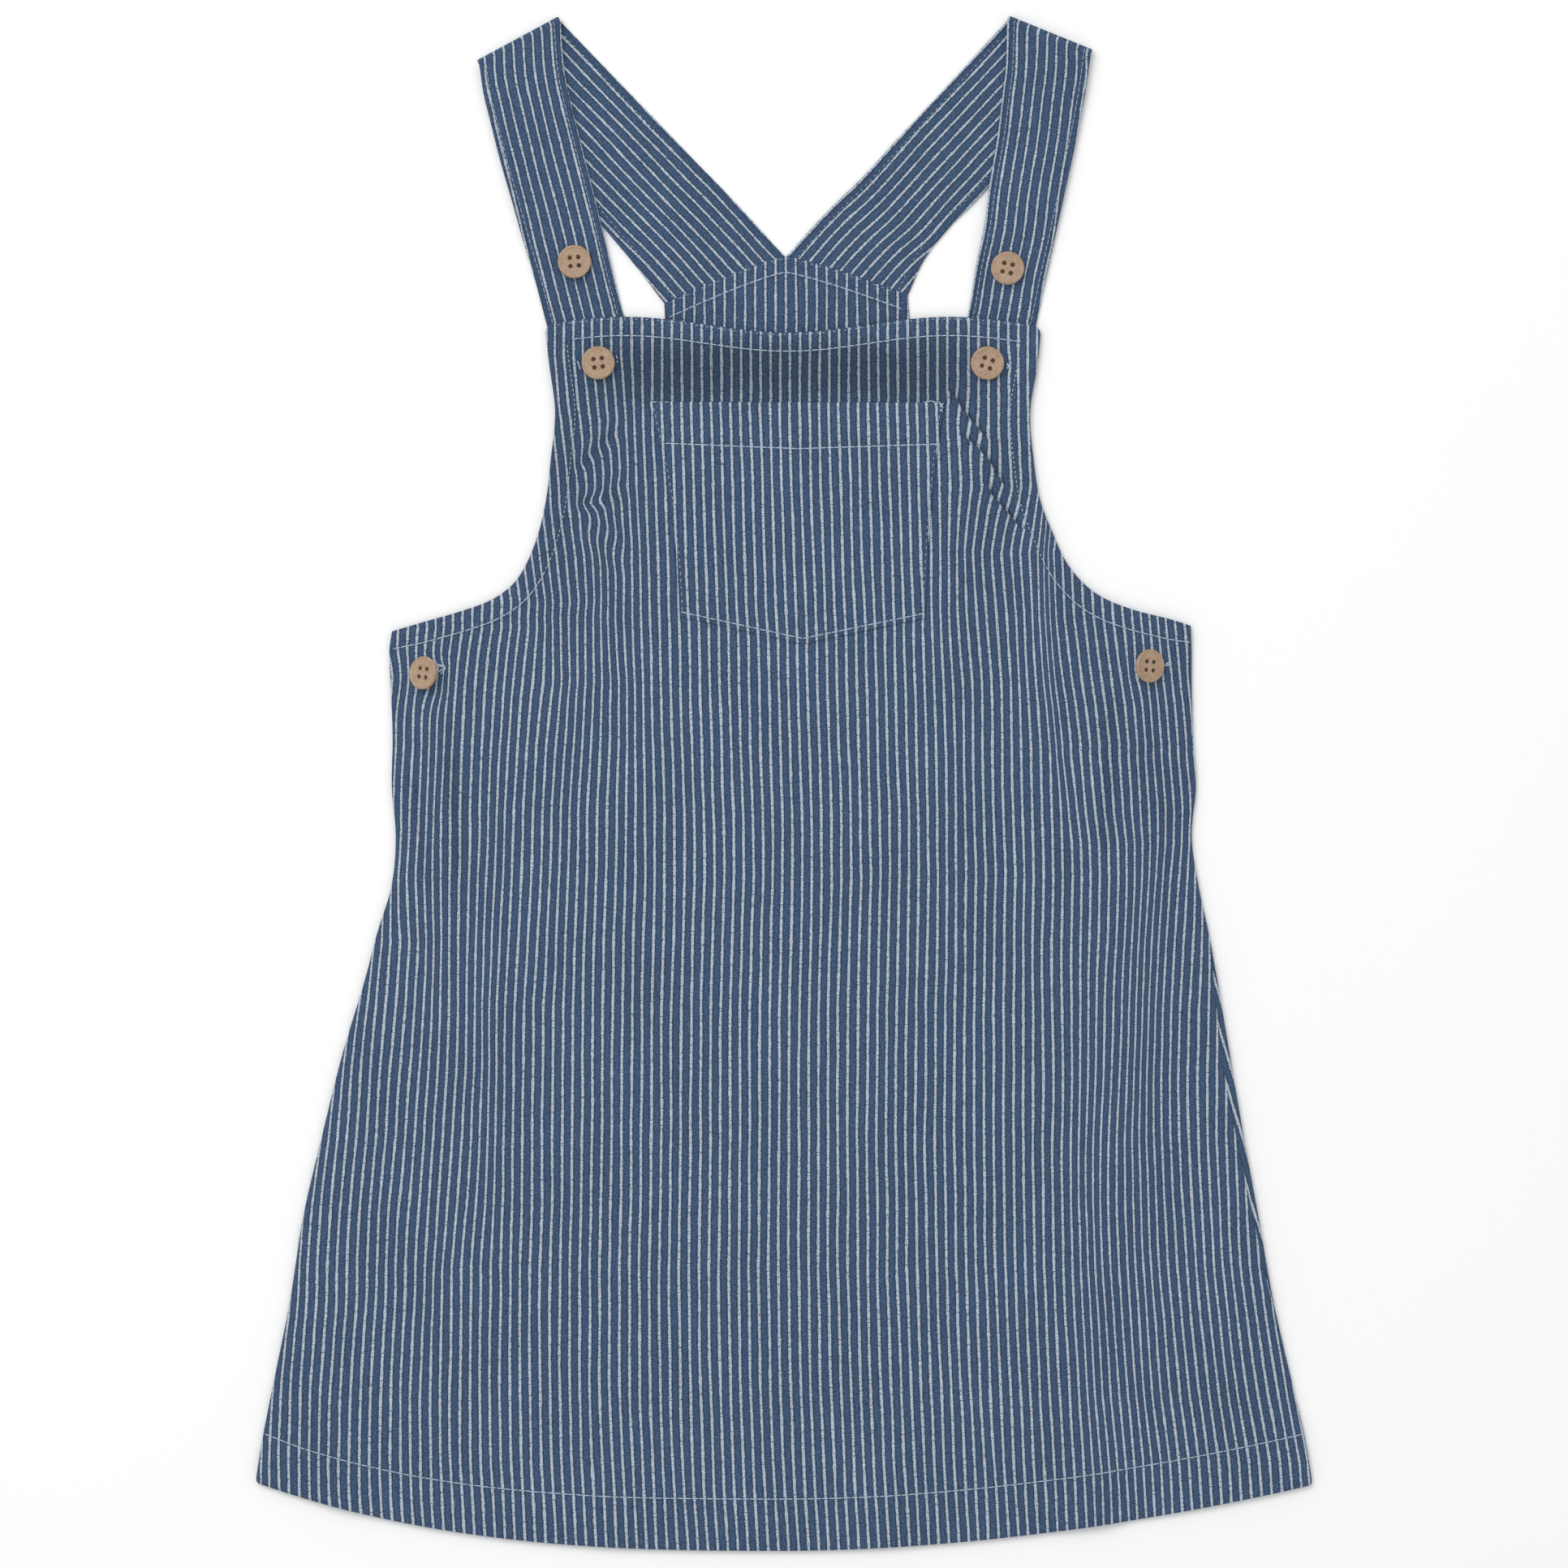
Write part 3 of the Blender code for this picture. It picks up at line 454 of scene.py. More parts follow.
# Noise of the weave: a row for each pattern, placed in the noise by its number. The yarns of denim lie
# about 0.4 mm apart, and the finest patterns are drawn a little coarser, so that they show
CLOTH_NOISE = (
    # name, follows, grain across, grain down, detail
    ("slow_wander", "cloth", 14.0, 40.0, 1.0),
    ("quick_wander", "cloth", 1.4, 2.6, 1.0),
    ("fray", "cloth", 0.4, 0.5, 1.0),
    ("slub", "yarn", 1.0, 9.0, 1.0),
    ("rope", "yarn", 1.0, 0.8, 1.0),
    ("streak", "cloth", 0.5, 5.0, 2.0),
    ("dye", "cloth", 1.1, 2.2, 2.0),
    ("cloud", "cloth", 30.0, 45.0, 2.0),
    ("heather", "cloth", 0.5, 0.62, 2.0),
    ("speck", "cloth", 0.5, 0.75, 1.0),
    ("twist", "cloth", 0.45, 0.6, 1.0),
    ("pick", "cloth", 1.2, 3.0, 1.0),
)
CLOTH_CONTRAST = {
    # name: noise at which the pattern begins, noise at which it is full
    "streak": (0.3, 0.7),
    "dye": (0.38, 0.62),
    "heather": (0.3, 0.7),
    "speck": (0.6, 0.82),
    "twist": (0.3, 0.62),
    "pick": (0.42, 0.62),
}
SEED_STEP = (7.1, 3.3)  # distance in grains between two patterns' places in the noise
YARN_MOVES = {
    # name: how far the pattern moves the white yarn or its edge
    "slow_wander": 0.9,
    "quick_wander": 0.4,
    "fray": 0.36,
    "slub": 0.3,
    "rope": 0.4,
}
YARN_SPACING = 9.7      # distance between two yarns' places in the noise
STRIPE_EDGE = (0.27, -0.2)      # distances past the white yarn's edge where it is gone, and where full
STRIPE_FLANK_SHADE = (0.95, 0.2)      # the same of the painted shade beside it
PICK_STEP = 2.8         # distance between dark picks that cross a stripe
PICK_START = 3.71       # steps by which the picks of one stripe start after those of the last
PICK_EDGE = (0.12, 0.02)        # distances from a pick's middle, in steps, where it is gone, and where full
GROOVE_HALF = 0.9       # half width of the groove in which stitching lies
GROUND_DARK = "364568"  # darkest streaks of the blue
GROUND_TINTS = {
    # pattern: its full share, its colour
    "dye": (0.6, "3C5D79"),
    "speck": (0.6, "7A90A9"),
    # painted shade beside a stripe
    "flank": (0.72, "1D2A3C"),
}
YARN_DARK = "8F9EB2"    # shaded side of the white yarn's twist
PICK_SHARE = 0.85
PICK_COLOUR = "3F5674"

# Brightness: how much each pattern changes it where it is full
GRAIN_BRIGHT = (-0.45, 0.68)    # how much less on white yarn than on the blue, change on the blue
CLOUD_BRIGHT = (0.18, 0.83)     # change, brightness where a cloud is darkest
# painted shade in the groove along a stitch line
GROOVE_BRIGHT = -0.12
# painted shade beside a sharp crease
CREASE_BRIGHT = -0.4
TROUGH_PAINTED_SHADE = 0.3      # painted shade: how much darker the cloth is drawn in a small crease's trough
BACK_TONE = 0.97
BIB_SHADE = 0.42        # painted shade: how much darker the cloth is drawn between bib top and pocket
BIB_SHADE_MIDDLE = (3.0, 185.5)
BIB_SHADE_REACH = (84.0, 14.5)
BIB_SHADE_POWERS = (6, 4)       # how suddenly it ends across and down
# Areas at the bib's sides and the dress's right side, darkened with painted shade
PAINTED_SHADE_AREAS = (
    # x, y, reach across, reach down, how much darker the painted shade makes the cloth there
    (-92.0, 140.0, 24.0, 75.0, 0.15),
    (92.0, 120.0, 20.0, 50.0, 0.07),
    (180.0, 10.0, 45.0, 60.0, 0.06),
)

# Relief of the weave: height of each pattern where it is full
YARN_RELIEF = (0.14, 0.08)      # height from the yarn's twist, least height of the yarn
PICK_RELIEF = -0.08
WEAVE_RELIEF = 0.16
GROOVE_RELIEF = -0.2
CREASE_RELIEF = -0.2
TURNED_RELIEF = (-1.3, -0.5, 0.0, 0.28)     # depths at which the step starts and ends, its heights there

# Thread of the stitching
THREAD_RADIUS = 0.25
THREAD_SIDES = 6
THREAD_TWISTS = 3.0     # turns of its ply in a millimetre
THREAD_SINK = 0.25      # how far the thread lies in the cloth on the underside
THREAD_RINGS = 7
ARCH_POWER = 4          # how square the arch of a stitch is
ARCH_END = 0.02         # square of its height at both ends
THREAD_END = 0.35       # share of its thickness that a stitch keeps at its ends
THREAD_RISE = 1.5       # thread radii by which a stitch rises
THREAD_DIP = 0.9        # thread radii by which its ends lie in the cloth
LONG_STITCH = (3.2, 0.06, THREAD_RADIUS)            # length, gap and radius
BIB_SIDE_STITCH = (1.3, 0.9, THREAD_RADIUS * 0.8)
BIB_EDGE_STITCH = (0.9, 1.6, THREAD_RADIUS * 0.7)
POCKET_SIDE_STITCH = (1.5, 1.6, THREAD_RADIUS * 0.6)
YOKE_SEAM_STITCH = (1.5, 2.2, THREAD_RADIUS * 0.5)
STRAP_BACK_STITCH = (1.0, 1.9, THREAD_RADIUS * 0.6)
STRAP_FRONT_STITCH = (2.4, 0.5, THREAD_RADIUS * 0.55)
STRAP_UNDER_STITCH = (1.5, 0.8, THREAD_RADIUS)
SINGLE_STITCH = 0.99    # share of a tack's length that its one stitch takes
TACK_POINTS = 5
FRONT_TACKS = (
    # x0, y0, x1, y1, radius
    (170.6, 53.3, 173.6, 53.4, 0.4),        # bar at the right side buttonhole
    (171.4, 53.9, 173.5, 54.8, 0.35),
    (173.7, 52.9, 173.8, 55.0, 0.3),
    (-156.4, 54.0, -151.9, 52.8, 0.3),      # fan at the left side buttonhole
    (-156.0, 53.0, -152.0, 52.6, 0.28),
    (-155.4, 50.2, -151.9, 52.4, 0.32),
    (-154.4, 49.2, -151.8, 52.2, 0.26),
    (-92.9, 190.0, -91.8, 188.0, 0.35),     # ends of the left bib buttonhole
    (-92.2, 188.4, -91.4, 186.2, 0.3),
    (-75.3, 192.4, -75.0, 191.2, 0.3),
    (-75.0, 190.2, -74.9, 189.2, 0.25),
    (100.0, 188.9, 101.1, 187.6, 0.45),     # end of the right bib buttonhole
    (101.1, 187.8, 100.1, 186.6, 0.4),
)
POCKET_TACKS = (
    # x0, y0, x1, y1, radius
    (62.6, 171.3, 66.2, 172.0, 0.22),       # loose end and bar tack at the right corner
    (66.0, 172.0, 68.6, 171.0, 0.25),
    (69.6, 171.4, 71.4, 168.6, 0.35),
    (69.9, 169.2, 71.6, 170.8, 0.3),
    (70.4, 168.4, 71.2, 167.0, 0.25),
    (-58.8, 171.4, -57.0, 171.5, 0.22),     # short stitches on the mouth's left
    (-56.2, 171.4, -54.4, 171.5, 0.22),
    (-53.6, 171.4, -51.8, 171.5, 0.2),
)

# Buttons: radius and height from the top centre over the rim to the bottom centre
BUTTON_PROFILE = (
    # radius, height
    (0.0, 2.25),
    (3.0, 2.25),
    (5.0, 2.3),
    (5.9, 2.35),
    (6.3, 2.55),
    (6.7, 2.7),
    (7.1, 2.6),
    (7.4, 2.2),
    (7.5, 1.7),
    (7.3, 1.0),
    (6.8, 0.4),
    (6.2, 0.05),
    (5.6, 0.0),
    (0.0, 0.0),
)
BUTTON_STEPS = 72
BUTTON_RINGS = 46
HOLE_OFFSET = 1.9
HOLE_STEPS = 24
HOLE_PROFILE = (
    # radius, height
    (1.2, 2.9),
    (1.2, 2.25),
    (1.0, 2.0),
    (0.85, 1.7),
    (0.85, -1.0),
)
PLUG_PROFILE = (
    # radius, height
    (0.45, 1.85),
    (0.75, 1.7),
    (0.84, 1.4),
    (0.84, 0.2),
)
PLUG_TOP = 1.9
BUTTON_SHARP_ANGLE = 35.0
NUT_GRAIN = (1.4286, 0.6667, 1.4286)    # size of the nut's grain along each axis
NUT_CLOUD = 4.1667      # size of its clouds
NUT_FLECK = 0.5263      # size of its flecks
NUT_TINTS = (
    # pattern, noise at which it begins, noise at which it is full, its full share, its colour
    ("cloud", 0.4, 0.7, 0.5, "B59A83"),
    ("fleck", 0.58, 0.74, 0.45, "74593F"),
    ("fleck", 0.42, 0.28, 0.4, "C9B39C"),
)
BUTTON_THREAD_FIBRE = 0.3125    # size of the fuzz of the thread in the holes
BUTTONS = (
    # name, spin_degrees, tilt_degrees
    ("strap_left", 5.0, 0.0),
    ("strap_right", -12.0, 0.0),
    ("bib_left", 7.0, 0.0),
    ("bib_right", -20.0, 0.0),
    ("side_left", -8.0, -34.0),
    ("side_right", -5.0, 30.0),
)

# Grid of each piece of cloth
FRONT_COLUMNS = 222
FRONT_ROWS_ABOVE = 78
FRONT_ROWS_BELOW = 116
BACK_COLUMNS = 110
BACK_ROWS_ABOVE = 70
BACK_ROWS_BELOW = 90
STRAP_COLUMNS = 26
STRAP_BACK_ROWS = 110
STRAP_FRONT_ROWS = 110
POCKET_COLUMNS = 96
POCKET_ROWS = 76
SIDE_CROWDING = 0.06
TABLE_SAMPLES = 60      # places read between two rows of a table to space sections evenly
SIDE_SAMPLES = 160      # places read down a side edge
LINE_LEAD = 30.0        # length by which an armhole's line is led on past its ends
HEM_POINTS = 500        # places along each stitch line
BIB_TOP_POINTS = 240
ARMHOLE_POINTS = 300
YOKE_POINTS = 200
POCKET_POINTS = 160

# Floor and lamp, in metres and degrees
FLOOR_REACH = 6.0
FLOOR_LEVEL = -0.0003
FLOOR_FIBRE = 0.1111    # size of the paper's clouds
FLOOR_FIBRE_SHADE = 0.99
LAMP_SIZE = 1.6
LAMP_PLACE = (-0.8, 1.0, 2.0)
LAMP_TURN = (-26.0, -21.0, 0.0)

# Settings that several nodes share
SMOOTH = {"interpolation_type": "SMOOTHSTEP"}
COLOUR_MIX = {"output": 2, "data_type": "RGBA"}


def linear(hex_colour):
    """Return scene-linear red, green, blue and a full alpha of an sRGB hex colour."""
    parts = [int(hex_colour[k:k + 2], 16) / 255 for k in (0, 2, 4)]
    return (*(c / 12.92 if c <= 0.04045 else ((c + 0.055) / 1.055) ** 2.4 for c in parts), 1.0)


def smoothstep(t):
    """Return 0 to 1 with level ends as t goes from 0 to 1."""
    t = np.clip(t, 0.0, 1.0)
    return t * t * (3.0 - 2.0 * t)


def read_down(table, y):
    """Return a table's second column at heights y, straight between its rows, which go down."""
    heights, values = np.array(table, dtype=float)[::-1].T
    return np.interp(y, heights, values)


def reach_along(path):
    """Return the length of a path from its start to each of its points."""
    return np.concatenate([[0.0], np.cumsum(np.linalg.norm(np.diff(path, axis=0), axis=-1))])


def along(rows, t):
    """Return smooth values of a table at fractional row numbers t: a cubic through four rows."""
    table = np.array(rows, dtype=float)
    last = len(table) - 1
    padded = np.vstack([2 * table[0] - table[1], table, 2 * table[last] - table[last - 1]])
    t = np.clip(np.asarray(t, dtype=float), 0.0, last)
    k = np.minimum(t.astype(int), last - 1)
    f = (t - k)[..., None]
    p0, p1, p2, p3 = padded[k], padded[k + 1], padded[k + 2], padded[k + 3]
    bend = 2 * p0 - 5 * p1 + 4 * p2 - p3
    twist = 3 * (p1 - p2) + p3 - p0
    return p1 + 0.5 * f * ((p2 - p0) + f * (bend + f * twist))


def even_rows(rows, count):
    """Return fractional row numbers that space the sections evenly down both sides and the centre."""
    fine = np.linspace(0.0, len(rows) - 1, TABLE_SAMPLES * len(rows))
    values = along(rows, fine)
    centre = np.abs(np.diff(values[:, 0]))
    left = np.hypot(np.diff(values[:, 1]), np.diff(values[:, 2]))
    right = np.hypot(np.diff(values[:, 3]), np.diff(values[:, 4]))
    travelled = np.concatenate([[0.0], np.cumsum(centre + left + right)])
    return np.interp(np.linspace(0.0, travelled[-1], count + 1), travelled, fine)


def panel_sections(above, below, count_above, count_below):
    """Return the sections of a panel, from its top edge past the underarm to the hem."""
    top = along(above, even_rows(above, count_above))
    foot = along(below, even_rows(below, count_below))
    return np.vstack([top, foot[1:]])


def section_points(sections, columns):
    """Return x and y of a panel's points: each section bends from its centre to its ends by a power."""
    s = np.linspace(0.0, 1.0, columns + 1)
    u = s - SIDE_CROWDING * np.sin(2 * np.pi * s)
    centre_y, left_x, left_y, right_x, right_y = (sections[:, k, None] for k in range(5))
    x = left_x + (right_x - left_x) * u
    end_y = np.where(u < 0.5, left_y, right_y)
    bend = np.where(u < 0.5, ROW_BEND_LEFT, ROW_BEND_RIGHT)
    y = centre_y + (end_y - centre_y) * np.abs(2 * u - 1) ** bend
    return x, y


def rounded_corner(a, b, radius):
    """Return distances a and b from two edges, moved so that their corner is round."""
    ra = np.clip(1 - a / radius, 0.0, 1.0)
    rb = np.clip(1 - b / radius, 0.0, 1.0)
    new_a = a + radius * ra * (1 - np.sqrt(1 - rb * rb / 2))
    new_b = b + radius * rb * (1 - np.sqrt(1 - ra * ra / 2))
    return new_a, new_b


def corners_rounded(x, y, row, up, radius):
    """Return a panel's points with round corners at its top or foot row, from which it runs up or down."""
    from_edge = up * (y - y[row])
    for side, beside in ((0, 1), (-1, -2)):
        inward = np.abs(x - x[:, side, None])
        moved, away = rounded_corner(inward, from_edge, radius)
        x = x + np.sign(x[:, beside, None] - x[:, side, None]) * (moved - inward)
        y = y + up * (away - from_edge)
    return x, y


def top_shaped(y, target):
    """Return a panel's y with its top row moved to a target, and the rows below it less and less."""
    return y + (target - y[0]) * np.clip(1 - (y[0] - y) / BIB_WAVE_FADE, 0.0, 1.0) ** 2


def front_outline_points(columns, rows_above, rows_below):
    """Return x and y of the front panel's points, with the bib's wavy top and round corners."""
    sections = panel_sections(
        FRONT_SECTIONS[:UNDERARM_SECTION + 1], FRONT_SECTIONS[UNDERARM_SECTION:],
        rows_above, rows_below)
    x, y = section_points(sections, columns)
    wave = BIB_WAVE_HEIGHT * (1 - np.cos(np.pi * (x - BIB_WAVE_CENTRE_X) / BIB_WAVE_HALF))
    y = top_shaped(y, FRONT_SECTIONS[0][0] + wave)
    x, y = corners_rounded(x, y, 0, -1.0, BIB_CORNER_RADIUS)
    return corners_rounded(x, y, -1, 1.0, HEM_CORNER_RADIUS)


def fold_height(x, y, folds):
    """Return the summed height of straight folds: a bell across each, faded at both its ends."""
    total = np.zeros(np.shape(x))
    for x0, y0, x1, y1, half_width, height in folds:
        length = math.hypot(x1 - x0, y1 - y0)
        run_x, run_y = (x1 - x0) / length, (y1 - y0) / length
        forward = (x - x0) * run_x + (y - y0) * run_y
        across = (y - y0) * run_x - (x - x0) * run_y
        fade = smoothstep((forward / half_width + FOLD_LEAD) / FOLD_FADE)
        fade *= smoothstep(((length - forward) / half_width + FOLD_LEAD) / FOLD_FADE)
        total += height * fade * np.exp(-(across / half_width) ** 2)
    return total


def gap_to_line(x, y, line):
    """Return each point's distance to a polyline, and how far along it the nearest place lies."""
    gap = np.full(np.shape(x), np.inf)
    place = np.zeros(np.shape(x))
    travelled = 0.0
    for (x0, y0), (x1, y1) in zip(line[:-1], line[1:]):
        length = math.hypot(x1 - x0, y1 - y0)
        run_x, run_y = (x1 - x0) / length, (y1 - y0) / length
        forward = np.clip((x - x0) * run_x + (y - y0) * run_y, 0.0, length)
        here = np.hypot(x - x0 - forward * run_x, y - y0 - forward * run_y)
        place = np.where(here < gap, travelled + forward, place)
        gap = np.minimum(gap, here)
        travelled += length
    return gap, place


def crease_field(x, y, line):
    """Return each point's distance below a crease, and the crease's depth, which fades at both ends."""
    line = np.array(line)
    gap, place = gap_to_line(x, y, line)
    length = reach_along(line)[-1]
    depth = smoothstep(place / CREASE_FADE) * smoothstep((length - place) / CREASE_FADE)
    below = gap * np.where(y < np.interp(x, line[:, 0], line[:, 1]), 1.0, -1.0)
    return np.stack([np.clip(below, -DEPTH_LIMIT, DEPTH_LIMIT), depth, depth], axis=-1)


def side_lines():
    """Return the front's left and right side edges as polylines, from bib corner to hem corner."""
    edge = along(FRONT_SECTIONS, np.linspace(0.0, len(FRONT_SECTIONS) - 1, SIDE_SAMPLES))
    return edge[:, 1:3], edge[:, 3:5]


def side_x(line, y):
    """Return x of a side edge at heights y."""
    return np.interp(y, line[::-1, 1], line[::-1, 0])


def armhole_line(line):
    """Return a side edge from the bib's corner to the underarm, led on straight past both ends."""
    corner = np.linspace(0.0, len(FRONT_SECTIONS) - 1, len(line)) <= UNDERARM_SECTION
    part = line[corner][:-UNDERARM_ROUNDED]
    head = part[0] + (part[0] - part[1]) / np.linalg.norm(part[0] - part[1]) * LINE_LEAD
    tail = part[-1] + (part[-1] - part[-2]) / np.linalg.norm(part[-1] - part[-2]) * LINE_LEAD
    return np.vstack([head, part, tail])


def bib_top_and_hem():
    """Return x and y along the bib's top edge, then along the front's hem."""
    x, y = front_outline_points(FRONT_COLUMNS, FRONT_ROWS_ABOVE, FRONT_ROWS_BELOW)
    return (x[0], y[0]), (x[-1], y[-1])


def beyond_seam(x, y):
    """Return how far points lie outside the right side seam, where the back shows: under 0 inside it."""
    inset = read_down(SEAM_SLIVER, y)
    return x - side_x(side_lines()[1], y) + inset - SLIVER_HIDDEN * (1 - smoothstep(inset))


def hem_depth(x):
    """Return how deep the hem is turned up at x."""
    return np.interp(x, *np.array(HEM_DEPTHS).T)


def puckers(stitch_line, place, past_line):
    """Return the puckers at a stitch line: a wandering wave along it times a bell across it."""
    wander, wander_length, middle, spread, share = PUCKERS[stitch_line]
    wave = np.sin(2 * np.pi * place / PUCKER_LENGTH + wander * np.sin(place / wander_length))
    return wave * np.exp(-((past_line - middle) / spread) ** 2) * share


def turned_rise(turned):
    """Return 0 to 1 over the step at which a turned edge's second layer begins."""
    return smoothstep((turned + TURNED_BEYOND) / TURNED_STEP + 0.5)


def front_seams(x, y):
    """Return the front's distances: to its side edge, into its turned edges, and its puckers.

    A point lies in a turned edge where its distance to the edge is less than the edge's depth.
    """
    (top_x, top_y), (hem_x, hem_y) = bib_top_and_hem()
    slope = np.gradient(hem_y, hem_x)
    above_hem = (y - np.interp(x, hem_x, hem_y)) / np.hypot(1.0, np.interp(x, hem_x, slope))
    below_top = np.interp(x, top_x, top_y) - y
    above_turned = above_hem - hem_depth(x)
    turned = np.maximum(-above_turned, BIB_TOP_DEPTH - below_top)
    pucker = puckers("hem", x, above_turned) + puckers("bib_top", x, below_top - BIB_TOP_DEPTH)
    nearest = np.full(np.shape(x), np.inf)
    for line in side_lines():
        gap, place = gap_to_line(x, y, armhole_line(line))
        turned = np.maximum(turned, SIDE_DEPTH - gap)
        pucker += puckers("armhole", place, gap - SIDE_DEPTH)
        nearest = np.minimum(nearest, gap_to_line(x, y, line)[0])
    turned = np.maximum(turned, beyond_seam(x, y))
    return nearest, turned, pucker


def front_faces(x, y):
    """Return the middle of the front's cloth, its outer relief, and the depth inside turned edges."""
    side_gap, turned, pucker = front_seams(x, y)
    rise = read_down(LOFT_ROWS, y) + fold_height(x, y, FOLDS)
    rise = LOFT_LIMIT * np.tanh(np.log1p(np.exp(LEVEL_SHARPNESS * rise)) / LEVEL_SHARPNESS / LOFT_LIMIT)
    over_straps = STRAP_CLEARANCE * smoothstep((y - CLEARANCE_START) / CLEARANCE_RUN)
    fade = 1 - np.exp(-side_gap / EDGE_ROUND)
    middle = FRONT_LEVEL + rise * fade + over_straps
    relief = fold_height(x, y, CREASES) * fade + PUCKER_HEIGHT * pucker
    relief += TURNED_THICKNESS * turned_rise(turned)
    return middle, relief, turned


def front_top(x, y):
    """Return the height of the front's outer face."""
    middle, relief, _ = front_faces(x, y)
    return middle + DENIM / 2 + relief


def front_stripes(x, y):
    """Return the front's stripe coordinate: x with the cloth that folds take up, which bends stripes."""
    shift = read_down(STRIPE_DRIFT, y)
    for half_width, places in STRIPE_TAKES:
        fold_y, fold_x, take = np.array(places, dtype=float)[::-1].T
        side = 1.0 if fold_x[0] < 0 else 0.0
        across = (x - np.interp(y, fold_y, fold_x)) / half_width
        shift = shift + np.interp(y, fold_y, take) * (0.5 * (1 + np.tanh(TAKE_SHARPNESS * across)) - side)
    shift = shift - HEM_FAN * (x + STRIPE_PHASE_X) * smoothstep((HEM_FAN_START - y) / HEM_FAN_RUN)
    shift = shift + fold_height(x, y, STRIPE_KINKS)
    for pull_x, pull_y, reach_x, reach_y, move in STRIPE_PULLS:
        shift = shift + move * np.exp(-((x - pull_x) / reach_x) ** 2 - ((y - pull_y) / reach_y) ** 2)
    for line, outward in zip(side_lines(), (-1.0, 1.0)):
        inside = np.clip(1 - np.abs(x - side_x(line, y)) / SIDE_SQUEEZE_RUN, 0.0, 1.0)
        below_arm = smoothstep((line[:, 1].max() - SIDE_SQUEEZE_START - y) / SIDE_SQUEEZE_EASE)
        shift = shift + outward * SIDE_SQUEEZE * inside ** 2 * below_arm
    return x + STRIPE_PHASE_X + shift


def yoke_edge(x):
    """Return y of the yoke's pointed edge at x."""
    share = np.clip(np.abs(x - YOKE_APEX_X) / YOKE_HALF, 0.0, 1.0)
    drop = np.where(x < YOKE_APEX_X, YOKE_DROP_LEFT, YOKE_DROP_RIGHT)
    return YOKE_APEX_Y - drop * share ** YOKE_POWER


def back_outline_points():
    """Return x and y of the back panel's points."""
    foot = (YOKE_SECTIONS[-1],) + FRONT_SECTIONS[UNDERARM_SECTION + 2:]
    sections = panel_sections(YOKE_SECTIONS, foot, BACK_ROWS_ABOVE, BACK_ROWS_BELOW)
    x, y = section_points(sections, BACK_COLUMNS)
    return corners_rounded(x, top_shaped(y, yoke_edge(x)), -1, 1.0, HEM_CORNER_RADIUS)


def strap_points(back_rows, front_rows):
    """Return x, y and z of a strap's middle, from the yoke round the fold to the hidden end."""
    across = np.linspace(0.0, 1.0, STRAP_COLUMNS + 1)
    back = along(back_rows, np.linspace(0.0, len(back_rows) - 1, STRAP_BACK_ROWS + 1))
    front = along(front_rows, np.linspace(0.0, len(front_rows) - 1, STRAP_FRONT_ROWS + 1))
    fold_run = np.array([back[-1, 2] - back[-1, 0], back[-1, 3] - back[-1, 1]])
    fold_run /= np.linalg.norm(fold_run)
    inward = np.array([fold_run[1], -fold_run[0]])
    if inward[1] > 0:
        inward = -inward
    reach = FOLD_RADIUS + STRAP / 2

    def lay(rows, level):
        """Return points straight across from a strap's outer to its inner edge, at a level."""
        x = rows[:, 0, None] + (rows[:, 2] - rows[:, 0])[:, None] * across
        y = rows[:, 1, None] + (rows[:, 3] - rows[:, 1])[:, None] * across
        return np.stack([x, y, np.broadcast_to(level, x.shape)], axis=-1)

    lower = lay(back, STRAP_LEVEL)
    share = np.linspace(0.0, 1.0, STRAP_BACK_ROWS + 1)[:, None]
    end_fit = yoke_edge(lower[0, :, 0]) + SEWN_GAP - lower[0, :, 1]
    lower[..., 1] += end_fit * (1 - smoothstep(share / YOKE_BLEND))
    move = smoothstep((share[..., None] - LOWER_SHIFT_START) / (1 - LOWER_SHIFT_START))
    lower[..., :2] += inward * reach * move
    front_z = front[:, 4, None] + (front[:, 5] - front[:, 4])[:, None] * across
    upper = lay(front, front_z)
    share = np.linspace(0.0, 1.0, STRAP_FRONT_ROWS + 1)[:, None, None]
    upper[..., :2] += inward * reach * (1 - smoothstep(share / UPPER_SHIFT_END))
    turn = np.linspace(0.0, math.pi, FOLD_STEPS + 1)[1:-1, None]
    bend = np.repeat(lower[-1][None], FOLD_STEPS - 1, axis=0)
    bend[..., 0] -= inward[0] * FOLD_RADIUS * np.sin(turn)
    bend[..., 1] -= inward[1] * FOLD_RADIUS * np.sin(turn)
    bend[..., 2] += FOLD_RADIUS * (1 - np.cos(turn))
    return np.concatenate([lower, bend, upper])


def pocket_place(u, v):
    """Return x, y and z of the pocket's middle at u across and v down, made from the front's level."""
    pull = POCKET_WAIST * np.sin(np.pi * v)
    left_x = POCKET_TOP_LEFT[0] + (POCKET_LOW_LEFT[0] - POCKET_TOP_LEFT[0]) * v + pull
    right_x = POCKET_TOP_RIGHT[0] + (POCKET_LOW_RIGHT[0] - POCKET_TOP_RIGHT[0]) * v - pull / 2
    x = left_x + (right_x - left_x) * u
    top_y = POCKET_TOP_LEFT[1] + (POCKET_TOP_RIGHT[1] - POCKET_TOP_LEFT[1]) * u
    low_y = POCKET_LOW_LEFT[1] + (POCKET_LOW_RIGHT[1] - POCKET_LOW_LEFT[1]) * u
    low_y = low_y - POCKET_POINT_DROP * (1 - np.abs(2 * u - 1))
    y = top_y + (low_y - top_y) * v
    mouth = np.clip(1 - (top_y - y) / POCKET_MOUTH_DEPTH, 0.0, 1.0) ** 2
    lift = POCKET_MOUTH_LIFT * mouth * np.sin(np.pi * u)
    lift = lift + POCKET_CORNER_LIFT * mouth * u ** POCKET_CORNER_POWER
    middle, _, _ = front_faces(x, y)
    return np.stack([x, y, middle + DENIM + SEAM_GAP + lift], axis=-1)


